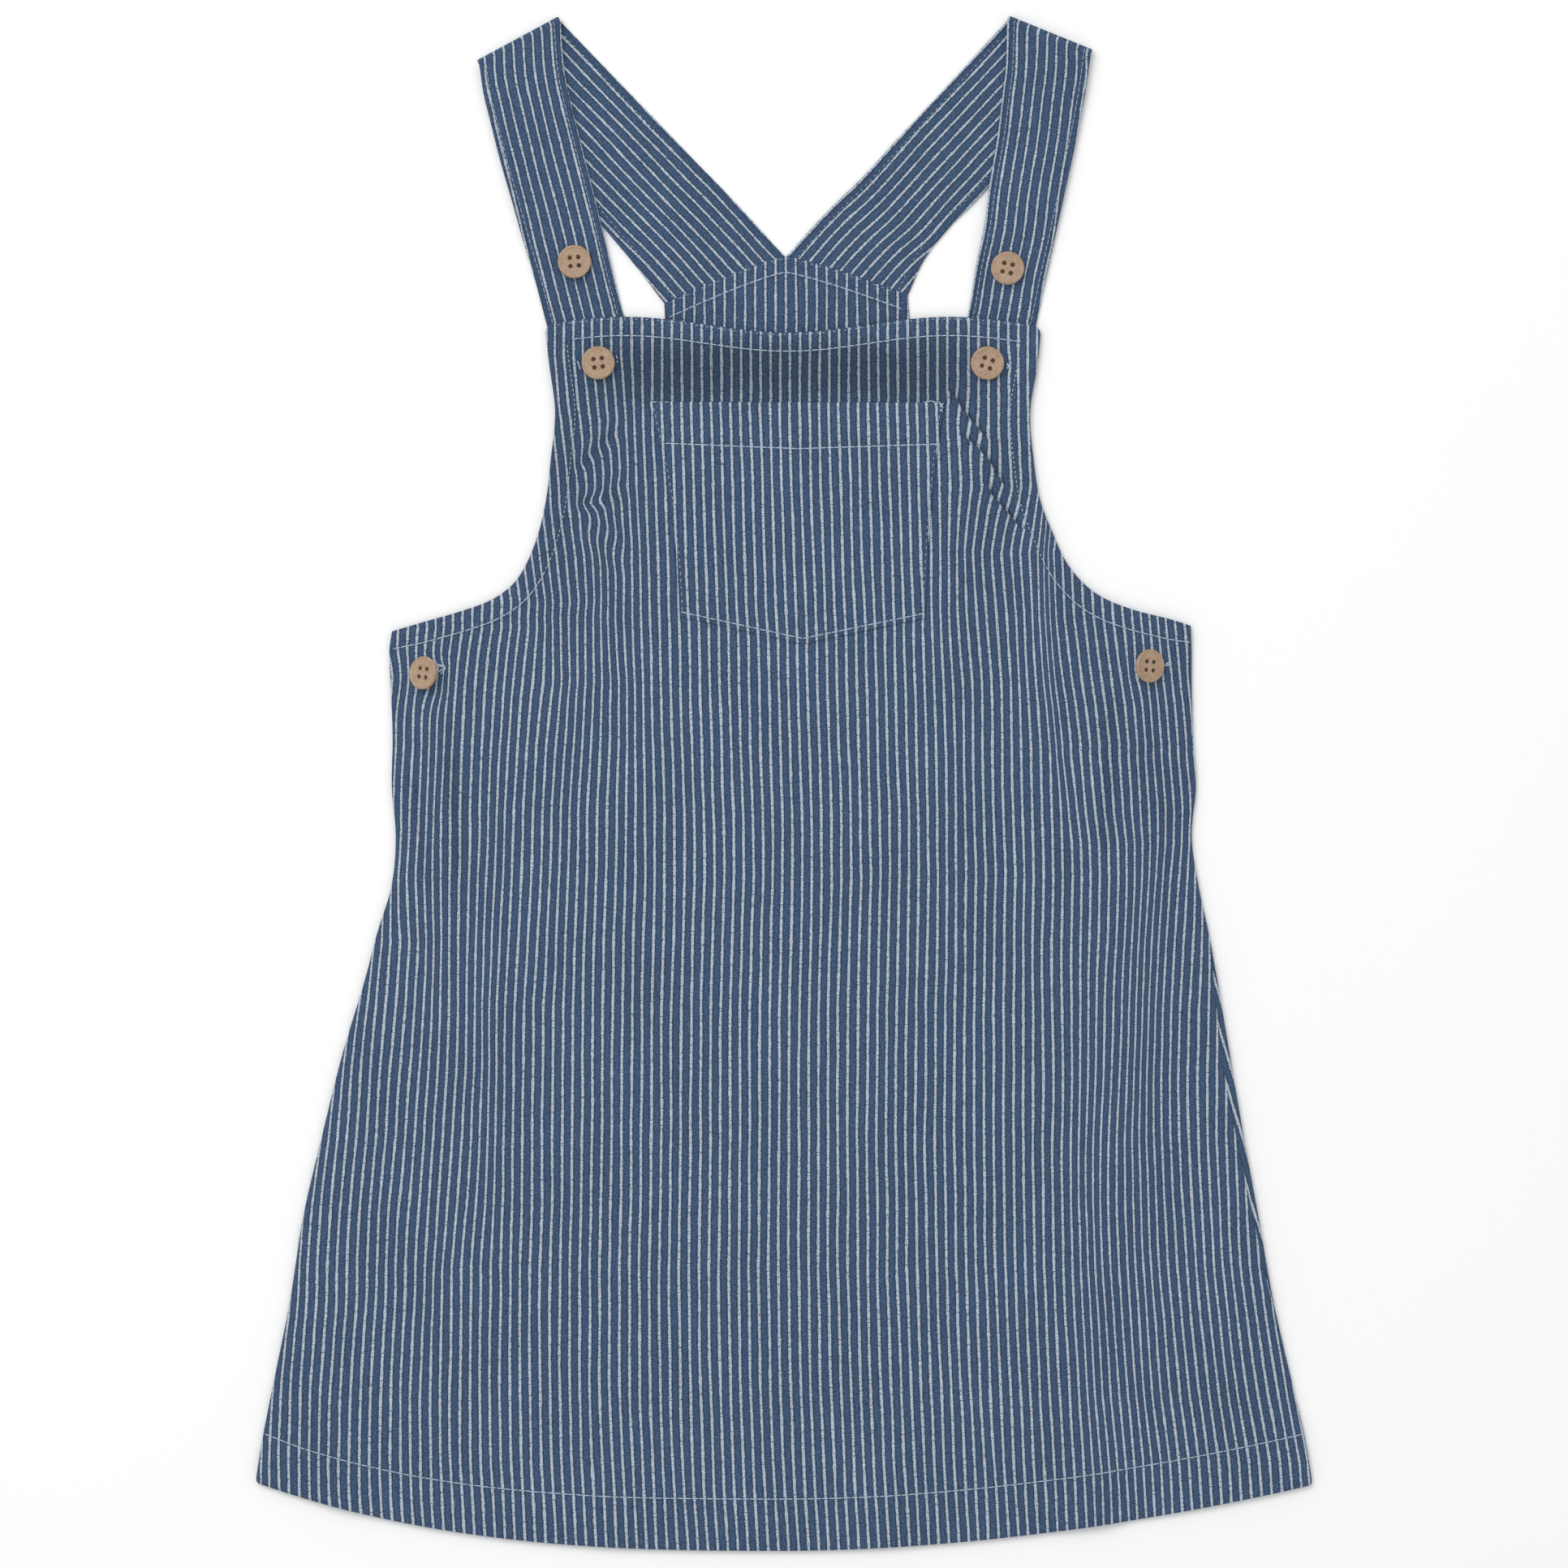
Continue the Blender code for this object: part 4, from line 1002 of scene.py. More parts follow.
def pocket_faces(u, v):
    """Return the pocket's middle and its outer face's height over it, both lower towards its sewn edges."""
    points = pocket_place(u, v)
    width = POCKET_TOP_RIGHT[0] - POCKET_TOP_LEFT[0]
    height = POCKET_TOP_LEFT[1] - POCKET_LOW_LEFT[1]
    sewn = smoothstep(np.minimum(np.minimum(u, 1 - u) * width, (1 - v) * height) / POCKET_EDGE_RUN)
    points[..., 2] -= POCKET_EDGE_DROP * (1 - sewn)
    mouth = turned_rise(POCKET_MOUTH_HEM - v * height)
    return points, DENIM / 2 - POCKET_EDGE_THIN * (1 - sewn) + POCKET_HEM_THICKNESS * mouth


def edge_rounded(points, radius, sewn=False):
    """Add rows and columns close to the four edges of a grid, and return it with its edge profile.

    The profile is a half circle: 0 at the edge and 1 a rolled edge's radius inside it. A first row
    that is sewn to its neighbour keeps its full thickness.
    """
    steps = np.array(EDGE_STEPS)
    rise = np.sqrt(1 - (1 - steps) ** 2)
    profile = []
    for axis in (0, 1):
        flat_head = sewn and axis == 0
        grid = np.moveaxis(points, axis, 0)
        first = np.linalg.norm(grid[1] - grid[0], axis=-1)[None, :, None]
        last = np.linalg.norm(grid[-1] - grid[-2], axis=-1)[None, :, None]
        head_radius = SEWN_ROUND if flat_head else radius
        inward = np.clip(steps[:, None, None] * head_radius / first, 0.0, EDGE_LIMIT)
        outward = np.clip(steps[::-1, None, None] * radius / last, 0.0, EDGE_LIMIT)
        head = grid[0] + (grid[1] - grid[0]) * inward
        tail = grid[-1] + (grid[-2] - grid[-1]) * outward
        points = np.moveaxis(np.concatenate([head, grid[1:-1], tail]), 0, axis)
        head_rise = np.ones(len(steps)) if flat_head else rise
        profile.append(np.concatenate([head_rise, np.ones(len(grid) - 2), rise[::-1]]))
    return points, profile[0][:, None] * profile[1][None, :]


def grid_normals(points):
    """Return unit normals of a grid of points: the cross of its two directions."""
    down = np.gradient(points, axis=0)
    across = np.gradient(points, axis=1)
    normal = np.cross(down, across)
    return normal / np.linalg.norm(normal, axis=-1, keepdims=True)


def add_object(name, data):
    """Return a new object with its data, linked to the scene."""
    added = bpy.data.objects.new(name, data)
    bpy.context.scene.collection.objects.link(added)
    return added


def cloth_shell(name, middle, upper, lower, stripes, attributes, material):
    """Return a closed sheet: a grid moved out by upper and in by lower, its faces joined at the edge."""
    rows, columns = middle.shape[:2]
    normal = grid_normals(middle)
    outer = middle + normal * upper[..., None]
    inner = middle - normal * lower[..., None]
    top = np.arange(rows * columns).reshape(rows, columns)
    low = top.copy()
    core = (slice(1, -1), slice(1, -1))
    low[core] = np.arange((rows - 2) * (columns - 2)).reshape(rows - 2, columns - 2) + rows * columns
    vertices = np.concatenate([outer.reshape(-1, 3), inner[core].reshape(-1, 3)]) * MM

    def quads(index):
        """Return the four corners of each square of a grid of vertices."""
        return np.stack([index[:-1, :-1], index[1:, :-1], index[1:, 1:], index[:-1, 1:]], -1)

    faces = np.concatenate([quads(top).reshape(-1, 4), quads(low).reshape(-1, 4)[:, ::-1]])
    mesh = bpy.data.meshes.new(name)
    mesh.from_pydata(vertices, [], faces)
    mesh.polygons.foreach_set("use_smooth", np.ones(len(faces), dtype=bool))

    def per_vertex(values):
        """Return a grid's values for the outer face, then for the inside of the inner one."""
        return np.concatenate([
            values.reshape(rows * columns, -1), values[core].reshape((rows - 2) * (columns - 2), -1)])

    flat = np.hstack([per_vertex(stripes[0]), per_vertex(stripes[1])])[faces.ravel()] * MM
    mesh.uv_layers.new(name="cloth").data.foreach_set("uv", flat.ravel().astype(np.float32))
    for label, values in attributes.items():
        kind, part = ("FLOAT_VECTOR", "vector") if values.ndim == 3 else ("FLOAT", "value")
        layer = mesh.attributes.new(label, kind, "POINT")
        layer.data.foreach_set(part, per_vertex(values).ravel().astype(np.float32))
    mesh.materials.append(material)
    return add_object(name, mesh)


def set_inputs(tree, node, inputs):
    """Set or link a node's inputs by order, name or number."""
    for key, value in inputs.items() if isinstance(inputs, dict) else enumerate(inputs):
        if isinstance(value, bpy.types.NodeSocket):
            tree.links.new(value, node.inputs[key])
        else:
            node.inputs[key].default_value = value


def add_node(tree, kind, inputs, output=0, **settings):
    """Add a node, set its properties and its inputs, and return one of its outputs."""
    node = tree.nodes.new("ShaderNode" + kind)
    for name, value in settings.items():
        setattr(node, name, value)
    set_inputs(tree, node, inputs)
    return node.outputs[output]


def denim_cloth(tree, shader, settings):
    """Cotton denim, woven with raised white warp stripes, then washed.

    Indigo warp takes the dye unevenly, so the blue is mottled between navy and teal, streaked along
    the warp and speckled by pale weft; beside a stripe it is darkened with painted shade. The white
    stripes are thicker yarn: their edges waver, they swell and thin like rope, and dark picks cross
    them. At a sharp crease the stripes break off and go on a little to the right. Painted shade also
    darkens the cloth beside a sharp crease, the groove along a stitch line, and the parts that the
    mesh marks as shaded.
    """
    node = partial(add_node, tree)
    pitch, width = settings.stripe_pitch / MM, settings.stripe_width / MM
    flat = node("UVMap", (), uv_map="cloth")
    place = node("VectorMath", (flat, (1 / MM, 1 / MM, 1 / MM)), operation="MULTIPLY")
    front_across, down = node("SeparateXYZ", (place,)), node("SeparateXYZ", (place,), output=1)
    beyond_seam, back_across, thin, tone, turned = (
        node("Attribute", (), output="Fac", attribute_name=label)
        for label in ("beyond_seam", "back_stripe", "thin", "tone", "turned"))
    on_back = node("Math", (beyond_seam, 0.0), operation="GREATER_THAN")
    across = node("Mix", {0: on_back, 2: front_across, 3: back_across})

    # Uneven patterns, over the cloth or down each white yarn, from 0 to 1
    yarn = node("CombineXYZ", {"Y": down})
    noise = {}
    for seed, (name, follows, grain_across, grain_down, detail) in enumerate(CLOTH_NOISE, 1):
        scale = (1 / grain_across, 1 / grain_down, 1.0)
        shift = (seed * SEED_STEP[0], seed * SEED_STEP[1], 0.0)
        grain = node(
            "VectorMath", (yarn if follows == "yarn" else place, scale, shift), operation="MULTIPLY_ADD")
        noise[name] = node(
            "TexNoise", {"Vector": grain, "Scale": 1.0, "Detail": detail}, noise_dimensions="2D")
    strong = {
        name: node("MapRange", (noise[name], *ends), **SMOOTH) for name, ends in CLOTH_CONTRAST.items()}
    moved = {
        name: node("Math", (noise[name], reach, -reach / 2), operation="MULTIPLY_ADD")
        for name, reach in YARN_MOVES.items()}

    # Sharp creases: stripes lean left towards one, start again to its right and lean back, and painted
    # shade darkens the cloth beside it
    crease_shade = 0.0
    for label in CREASE_LABELS:
        crease = node("Attribute", (), output="Vector", attribute_name=label)
        below, depth = node("SeparateXYZ", (crease,)), node("SeparateXYZ", (crease,), output=1)
        broken, eased = (
            node("MapRange", (below, -run, run, 0.0, CREASE_BREAK), **SMOOTH)
            for run in (CREASE_SHARP, CREASE_EASE))
        move = node("Math", (broken, eased), operation="SUBTRACT")
        move = node("Math", (move, depth), operation="MULTIPLY")
        across = node("Math", (across, move), operation="SUBTRACT")
        darker, unlit = (node("MapRange", (below, *ends), **SMOOTH) for ends in (CREASE_SHADOW, CREASE_LIT))
        shade = node("Math", (darker, unlit), operation="MULTIPLY")
        shade = node("Math", (shade, depth), operation="MULTIPLY")
        crease_shade = node("Math", (shade, crease_shade), operation="MAXIMUM")

    # Distance from the nearest stripe's middle, which wanders slowly and quickly
    for name in ("slow_wander", "quick_wander"):
        across = node("Math", (across, moved[name]), operation="ADD")
    turn = node("Math", (across, pitch), operation="DIVIDE")
    stripe_number = node("Math", (turn,), operation="ROUND")
    off_centre = node("Math", (turn, stripe_number), operation="SUBTRACT")
    off_centre = node("Math", (off_centre,), operation="ABSOLUTE")
    distance = node("Math", (off_centre, pitch), operation="MULTIPLY")

    # White yarn: a strip whose half width swells and thins, with frayed edges
    yarn_place = node("Math", (stripe_number, YARN_SPACING), operation="MULTIPLY")
    tree.links.new(yarn_place, yarn.node.inputs["X"])
    slubbed = node("Math", (moved["slub"], width / 2), operation="ADD")
    half_width = node("Math", (moved["rope"], slubbed), operation="ADD")
    beyond = node("Math", (distance, moved["fray"]), operation="ADD")
    beyond = node("Math", (beyond, half_width), operation="SUBTRACT")
    beyond = node("Math", (beyond, thin), operation="ADD")
    # The flank beside the yarn is the mask of the painted shade there
    stripe, flank = (node("MapRange", (beyond, *ends), **SMOOTH) for ends in (STRIPE_EDGE, STRIPE_FLANK_SHADE))

    # Dark picks across the white yarn, at uneven steps that differ from stripe to stripe
    pick_start = node("Math", (stripe_number, PICK_START), operation="MULTIPLY")
    pick_place = node("Math", (down, 1 / PICK_STEP, pick_start), operation="MULTIPLY_ADD")
    pick = node("TexVoronoi", {"W": pick_place, "Scale": 1.0}, voronoi_dimensions="1D")
    pick = node("MapRange", (pick, *PICK_EDGE), **SMOOTH)
    pick = node("Math", (pick, strong["pick"]), operation="MULTIPLY")

    # Blue ground: streaks and patches of dye, pale specks of weft, and painted shade beside a stripe
    strong["flank"] = flank
    ground = node(
        "Mix", {0: strong["streak"], 6: linear(GROUND_DARK), 7: tuple(settings.blue)}, **COLOUR_MIX)
    for name, (share, tint) in GROUND_TINTS.items():
        amount = node("Math", (strong[name], share), operation="MULTIPLY")
        ground = node("Mix", {0: amount, 6: ground, 7: linear(tint)}, **COLOUR_MIX)
    white = node(
        "Mix", {0: strong["twist"], 6: linear(YARN_DARK), 7: tuple(settings.stripe)}, **COLOUR_MIX)
    crossed = node("Math", (pick, PICK_SHARE), operation="MULTIPLY")
    white = node("Mix", {0: crossed, 6: white, 7: linear(PICK_COLOUR)}, **COLOUR_MIX)
    colour = node("Mix", {0: stripe, 6: ground, 7: white}, **COLOUR_MIX)

    # Brightness: tone and painted shade from the mesh, clouded areas, grain of the weave, painted shade in
    # a sharp crease and in the groove along a stitch line
    line_gap = node("Math", (turned,), operation="ABSOLUTE")
    groove = node("MapRange", (line_gap, GROOVE_HALF, 0.0), **SMOOTH)
    grain = node("Math", (strong["heather"], -0.5), operation="ADD")
    grain_share = node("Math", (stripe, *GRAIN_BRIGHT), operation="MULTIPLY_ADD")
    bright = tone
    for pattern, share, least in (
            (grain, grain_share, 1.0), (noise["cloud"], *CLOUD_BRIGHT), (groove, GROOVE_BRIGHT, 1.0),
            (crease_shade, CREASE_BRIGHT, 1.0)):
        factor = node("Math", (pattern, share, least), operation="MULTIPLY_ADD")
        bright = node("Math", (bright, factor), operation="MULTIPLY")
    grey = node("CombineXYZ", (bright, bright, bright))
    colour = node("Mix", {0: 1.0, 6: colour, 7: grey}, blend_type="MULTIPLY", **COLOUR_MIX)

    # Height in millimetres: raised yarn, weave, sunken picks, the step and groove of a turned edge
    yarn_height = node("Math", (noise["rope"], *YARN_RELIEF), operation="MULTIPLY_ADD")
    sunken = node("Math", (stripe, PICK_RELIEF), operation="MULTIPLY")
    relief = node("MapRange", (turned, *TURNED_RELIEF), **SMOOTH)
    for pattern, height in (
            (stripe, yarn_height), (pick, sunken), (noise["heather"], WEAVE_RELIEF),
            (groove, GROOVE_RELIEF), (crease_shade, CREASE_RELIEF)):
        relief = node("Math", (pattern, height, relief), operation="MULTIPLY_ADD")
    bump = node("Bump", {"Strength": 1.0, "Distance": MM, "Height": relief})
    set_inputs(tree, shader, {
        "Base Color": colour, "Normal": bump, "Roughness": 0.9, "IOR": 1.5, "Specular IOR Level": 0.2,
        "Sheen Weight": 0.04, "Sheen Roughness": 0.6})


def sewing_thread(tree, shader, settings):
    """Spun polyester sewing thread: pale blue, with the slanting ply of twisted yarn."""
    node = partial(add_node, tree)
    flat = node("UVMap", (), uv_map="thread")
    around, down = node("SeparateXYZ", (flat,)), node("SeparateXYZ", (flat,), output=1)
    twist = node("Math", (down, THREAD_TWISTS, around), operation="MULTIPLY_ADD")
    angle = node("Math", (twist, 4 * math.pi), operation="MULTIPLY")
    ply = node("Math", (angle,), operation="SINE")
    shade = node("Math", (ply, 0.5, 0.5), operation="MULTIPLY_ADD")
    colour = node("Mix", {0: shade, 6: linear("A6B7CC"), 7: tuple(settings.thread)}, **COLOUR_MIX)
    bump = node("Bump", {"Strength": 0.6, "Distance": 0.1 * MM, "Height": shade})
    set_inputs(tree, shader, {
        "Base Color": colour, "Normal": bump, "Roughness": 0.65, "Sheen Weight": 0.1})


def corozo_nut(tree, shader, settings):
    """Corozo nut, turned on a lathe, dyed tan and left matt: cloudy tan with fine dark and pale flecks."""
    node = partial(add_node, tree)
    place = node("TexCoord", (), output="Object")
    stretched = node("Mapping", {"Vector": place, "Scale": [1 / (size * MM) for size in NUT_GRAIN]})
    grain = node("TexNoise", {"Vector": stretched, "Scale": 1.0, "Detail": 2.0})
    noise = {
        name: node("TexNoise", {"Vector": place, "Scale": 1 / (size * MM), "Detail": detail})
        for name, size, detail in (("cloud", NUT_CLOUD, 2.0), ("fleck", NUT_FLECK, 1.0))}
    grained = node("MapRange", (grain, 0.25, 0.6), **SMOOTH)
    colour = node("Mix", {0: grained, 6: tuple(settings.grain), 7: tuple(settings.body)}, **COLOUR_MIX)
    for name, none, full, share, tint in NUT_TINTS:
        amount = node("MapRange", (noise[name], none, full, 0.0, share), **SMOOTH)
        colour = node("Mix", {0: amount, 6: colour, 7: linear(tint)}, **COLOUR_MIX)
    bump = node("Bump", {"Strength": 0.5, "Distance": 0.1 * MM, "Height": noise["fleck"]})
    set_inputs(tree, shader, {
        "Base Color": colour, "Normal": bump, "Roughness": 0.5, "IOR": 1.54, "Specular IOR Level": 0.35})


def button_thread(tree, shader, settings):
    """Brown polyester thread that fills a button's holes: dark, fuzzy, with worn paler fibres."""
    node = partial(add_node, tree)
    place = node("TexCoord", (), output="Object")
    fibre = node(
        "TexNoise", {"Vector": place, "Scale": 1 / (BUTTON_THREAD_FIBRE * MM), "Detail": 2.0})
    share = node("MapRange", (fibre, 0.45, 0.75), **SMOOTH)
    colour = node("Mix", {0: share, 6: tuple(settings.thread), 7: linear("7B5C45")}, **COLOUR_MIX)
    bump = node("Bump", {"Strength": 0.8, "Distance": 0.2 * MM, "Height": fibre})
    set_inputs(tree, shader, {"Base Color": colour, "Normal": bump, "Roughness": 0.9})


def floor_paper(tree, shader, settings):
    """White paper, rolled and left matt: all but even, with faint clouds of fibre."""
    node = partial(add_node, tree)
    place = node("TexCoord", (), output="Object")
    fibre = node("TexNoise", {"Vector": place, "Scale": 1 / FLOOR_FIBRE})
    shade = tuple(c * FLOOR_FIBRE_SHADE for c in settings.floor)
    colour = node("Mix", {0: fibre, 6: shade, 7: tuple(settings.floor)}, **COLOUR_MIX)
    set_inputs(tree, shader, {"Base Color": colour, "Roughness": 0.95, "Specular IOR Level": 0.1})


MATERIALS = {
    # function: material's name, settings it reads
    denim_cloth: ("washed_striped_cotton_denim", "pinafore_cloth"),
    sewing_thread: ("spun_polyester_thread", "pinafore_cloth"),
    corozo_nut: ("turned_corozo_nut", "pinafore_buttons"),
    button_thread: ("brown_polyester_thread", "pinafore_buttons"),
    floor_paper: ("matt_white_paper", "pinafore_stage"),
}


def material_of(fill):
    """Return the material that a function fills in, made once and then found by its name."""
    name, group = MATERIALS[fill]
    material = bpy.data.materials.get(name)
    if material is None:
        material = bpy.data.materials.new(name)
        material.use_nodes = True
        tree = material.node_tree
        fill(tree, tree.nodes["Principled BSDF"], getattr(bpy.context.scene, group))
    return material


def finished(piece, slot, *nodes):
    """Attach a piece to the dress, and hide the parts of the model that it stands for."""
    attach(piece, "root")
    if nodes:
        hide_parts(*nodes)
    return piece


def thread_mesh(name, runs, material):
    """Return stitches as one piece: each is a tube with round ends that arches out of the cloth.

    A run gives the points and outward directions of its path, its stitch length, gap and radius.
    Length and gap stretch a little so that a whole number of stitches fits. Along a stitch both the
    height of the tube's middle and its radius follow the root of one less a power of the distance
    from the stitch's middle.
    """
    t = np.linspace(-1.0, 1.0, THREAD_RINGS)
    arch = np.sqrt(1.0 + ARCH_END - t ** ARCH_POWER)
    turn = np.linspace(0.0, 2 * np.pi, THREAD_SIDES, endpoint=False)
    rings, centres_along = [], []
    for path, outward, stitch, gap, radius in runs:
        reach = reach_along(path)
        count = max(round(reach[-1] / (stitch + gap)), 1)
        step = reach[-1] / count
        open_share = gap / (stitch + gap)
        place = (np.arange(count)[:, None] + open_share / 2 + (t + 1) / 2 * (1 - open_share)) * step
        centre = np.stack([np.interp(place, reach, path[:, k]) for k in range(3)], axis=-1)
        up = np.stack([np.interp(place, reach, outward[:, k]) for k in range(3)], axis=-1)
        up /= np.linalg.norm(up, axis=-1, keepdims=True)
        run = np.gradient(centre, axis=1)
        run /= np.linalg.norm(run, axis=-1, keepdims=True)
        side = np.cross(run, up)
        thick = radius * (THREAD_END + (1 - THREAD_END) * arch)[None, :, None]
        centre = centre + up * (radius * (THREAD_RISE * arch - THREAD_DIP))[None, :, None]
        ring = (centre[:, :, None] + side[:, :, None] * (thick * np.cos(turn))[..., None]
                + up[:, :, None] * (thick * np.sin(turn))[..., None])
        rings.append(ring)
        centres_along.append(place)
    tubes = np.concatenate(rings)
    count = len(tubes)
    index = np.arange(tubes.size // 3).reshape(count, THREAD_RINGS, THREAD_SIDES)
    after = np.roll(index, -1, axis=2)
    walls = np.stack([index[:, :-1], index[:, 1:], after[:, 1:], after[:, :-1]], -1).reshape(-1, 4)
    caps = np.concatenate([index[:, 0], index[:, -1, ::-1]])
    mesh = bpy.data.meshes.new(name)
    mesh.from_pydata(tubes.reshape(-1, 3) * MM, [], walls.tolist() + caps.tolist())
    mesh.polygons.foreach_set("use_smooth", np.ones(len(mesh.polygons), dtype=bool))
    around = np.broadcast_to(np.arange(THREAD_SIDES) / THREAD_SIDES, (count, THREAD_RINGS, THREAD_SIDES))
    down = np.broadcast_to(np.concatenate(centres_along)[..., None], around.shape)
    corner = np.empty(len(mesh.loops), dtype=np.int32)
    mesh.loops.foreach_get("vertex_index", corner)
    flat = np.stack([around.ravel(), down.ravel()], axis=-1)[corner]
    mesh.uv_layers.new(name="thread").data.foreach_set("uv", flat.ravel().astype(np.float32))
    mesh.materials.append(material)
    return add_object(name, mesh)


def laid(path, stitch):
    """Return a run of stitches on the upper side of the cloth: path, upward direction and stitch."""
    return (path, np.broadcast_to((0.0, 0.0, 1.0), path.shape), *stitch)


def on_front(x, y):
    """Return points on the front's outer face."""
    return np.stack([x, y, front_top(x, y)], axis=-1)


def tack_runs(tacks, lift):
    """Return a run of one stitch for each tack, at a lift above the front's outer face."""
    runs = []
    for x0, y0, x1, y1, radius in tacks:
        path = on_front(*np.linspace((x0, y0), (x1, y1), TACK_POINTS).T)
        path[:, 2] += lift
        runs.append(laid(path, (SINGLE_STITCH * math.hypot(x1 - x0, y1 - y0), 0.0, radius)))
    return runs


def hem_path():
    """Return the hem's stitch line, the hem's depth above the edge."""
    x, y = bib_top_and_hem()[1]
    x_fine = np.linspace(x[0] + EDGE_STOP, x[-1] - EDGE_STOP, HEM_POINTS)
    slope = np.interp(x_fine, x, np.gradient(y, x))
    y_fine = np.interp(x_fine, x, y) + hem_depth(x_fine) * np.hypot(1.0, slope)
    left, right = (side_x(line, y_fine) for line in side_lines())
    kept = (x_fine > left + EDGE_STOP / 2) & (x_fine < right - EDGE_STOP / 2)
    return on_front(x_fine[kept], y_fine[kept])


def bib_top_path():
    """Return the stitch line below the bib's top edge."""
    x, y = bib_top_and_hem()[0]
    x_fine = np.linspace(*BIB_TOP_STITCH_ENDS, BIB_TOP_POINTS)
    return on_front(x_fine, np.interp(x_fine, x, y) - BIB_TOP_DEPTH)


def bib_edge_path():
    """Return the line of fine stitches that shows along the bib's top edge."""
    x, y = bib_top_and_hem()[0]
    x_fine = np.linspace(x[0] + BIB_CORNER_RADIUS, x[-1] - BIB_CORNER_RADIUS, BIB_TOP_POINTS)
    return on_front(x_fine, np.interp(x_fine, x, y) - EDGE_STOP)


def armhole_path(line, inward):
    """Return the stitch line inside the bib's side and the armhole, its depth from the edge."""
    line = armhole_line(line)
    reach = reach_along(line)
    start, end = LINE_LEAD + BIB_TOP_DEPTH + EDGE_STOP, reach[-1] - LINE_LEAD + SIDE_DEPTH
    place = np.linspace(start, end, ARMHOLE_POINTS)
    x, y = (np.interp(place, reach, line[:, k]) for k in range(2))
    run_x, run_y = np.gradient(x), np.gradient(y)
    size = np.hypot(run_x, run_y)
    x = x - inward * SIDE_DEPTH * run_y / size
    y = y + inward * SIDE_DEPTH * run_x / size
    edge_x = FRONT_SECTIONS[UNDERARM_SECTION][1 if inward > 0 else 3]
    kept = (x - edge_x) * inward > EDGE_STOP / 2
    return on_front(x[kept], y[kept])


def strap_path(points, place):
    """Return the path down a strap's grid of points at a place across it, counted in columns."""
    k = int(place)
    return points[:, k] + (points[:, k + 1] - points[:, k]) * (place - k)


class ClothSettings(bpy.types.PropertyGroup):
    """Sizes and colours of the denim and its thread."""

    stripe_pitch: bpy.props.FloatProperty(
        name="Stripe pitch", description="Distance between the middles of two stripes",
        default=STRIPE_PITCH * MM, precision=5, unit="LENGTH")
    stripe_width: bpy.props.FloatProperty(
        name="Stripe width", description="Width of a white stripe",
        default=0.00108, precision=5, unit="LENGTH")
    blue: bpy.props.FloatVectorProperty(
        name="Blue", description="Colour of the washed indigo warp",
        default=linear("3E5270"), size=4, subtype="COLOR")
    stripe: bpy.props.FloatVectorProperty(
        name="Stripe", description="Colour of the white stripes",
        default=linear("C6D0DB"), size=4, subtype="COLOR")
    thread: bpy.props.FloatVectorProperty(
        name="Thread", description="Colour of the stitching",
        default=linear("CEDAE8"), size=4, subtype="COLOR")


class ButtonSettings(bpy.types.PropertyGroup):
    """Colours of the buttons."""

    body: bpy.props.FloatVectorProperty(
        name="Body", description="Main colour of the buttons",
        default=linear("A58B73"), size=4, subtype="COLOR")
    grain: bpy.props.FloatVectorProperty(
        name="Grain", description="Colour of the darker grain",
        default=linear("937860"), size=4, subtype="COLOR")
    thread: bpy.props.FloatVectorProperty(
        name="Button thread", description="Colour of the thread in the buttons' holes",
        default=linear("38271B"), size=4, subtype="COLOR")


class StageSettings(bpy.types.PropertyGroup):
    """Floor, light and camera."""

    floor: bpy.props.FloatVectorProperty(
        name="Floor", description="Colour of the floor", default=linear("FAFAFA"), size=4, subtype="COLOR")
    sky_strength: bpy.props.FloatProperty(
        name="Sky", description="Strength of the even light from all sides", default=0.77, min=0.0)
    lamp_power: bpy.props.FloatProperty(
        name="Lamp", description="Power of the soft lamp overhead", default=22.0, min=0.0)
    camera_height: bpy.props.FloatProperty(
        name="Camera height", description="Height of the camera above the floor",
        default=2.6, unit="LENGTH")
    view_width: bpy.props.FloatProperty(
        name="View width", description="Width of floor that the picture shows",
        default=0.7052, unit="LENGTH")


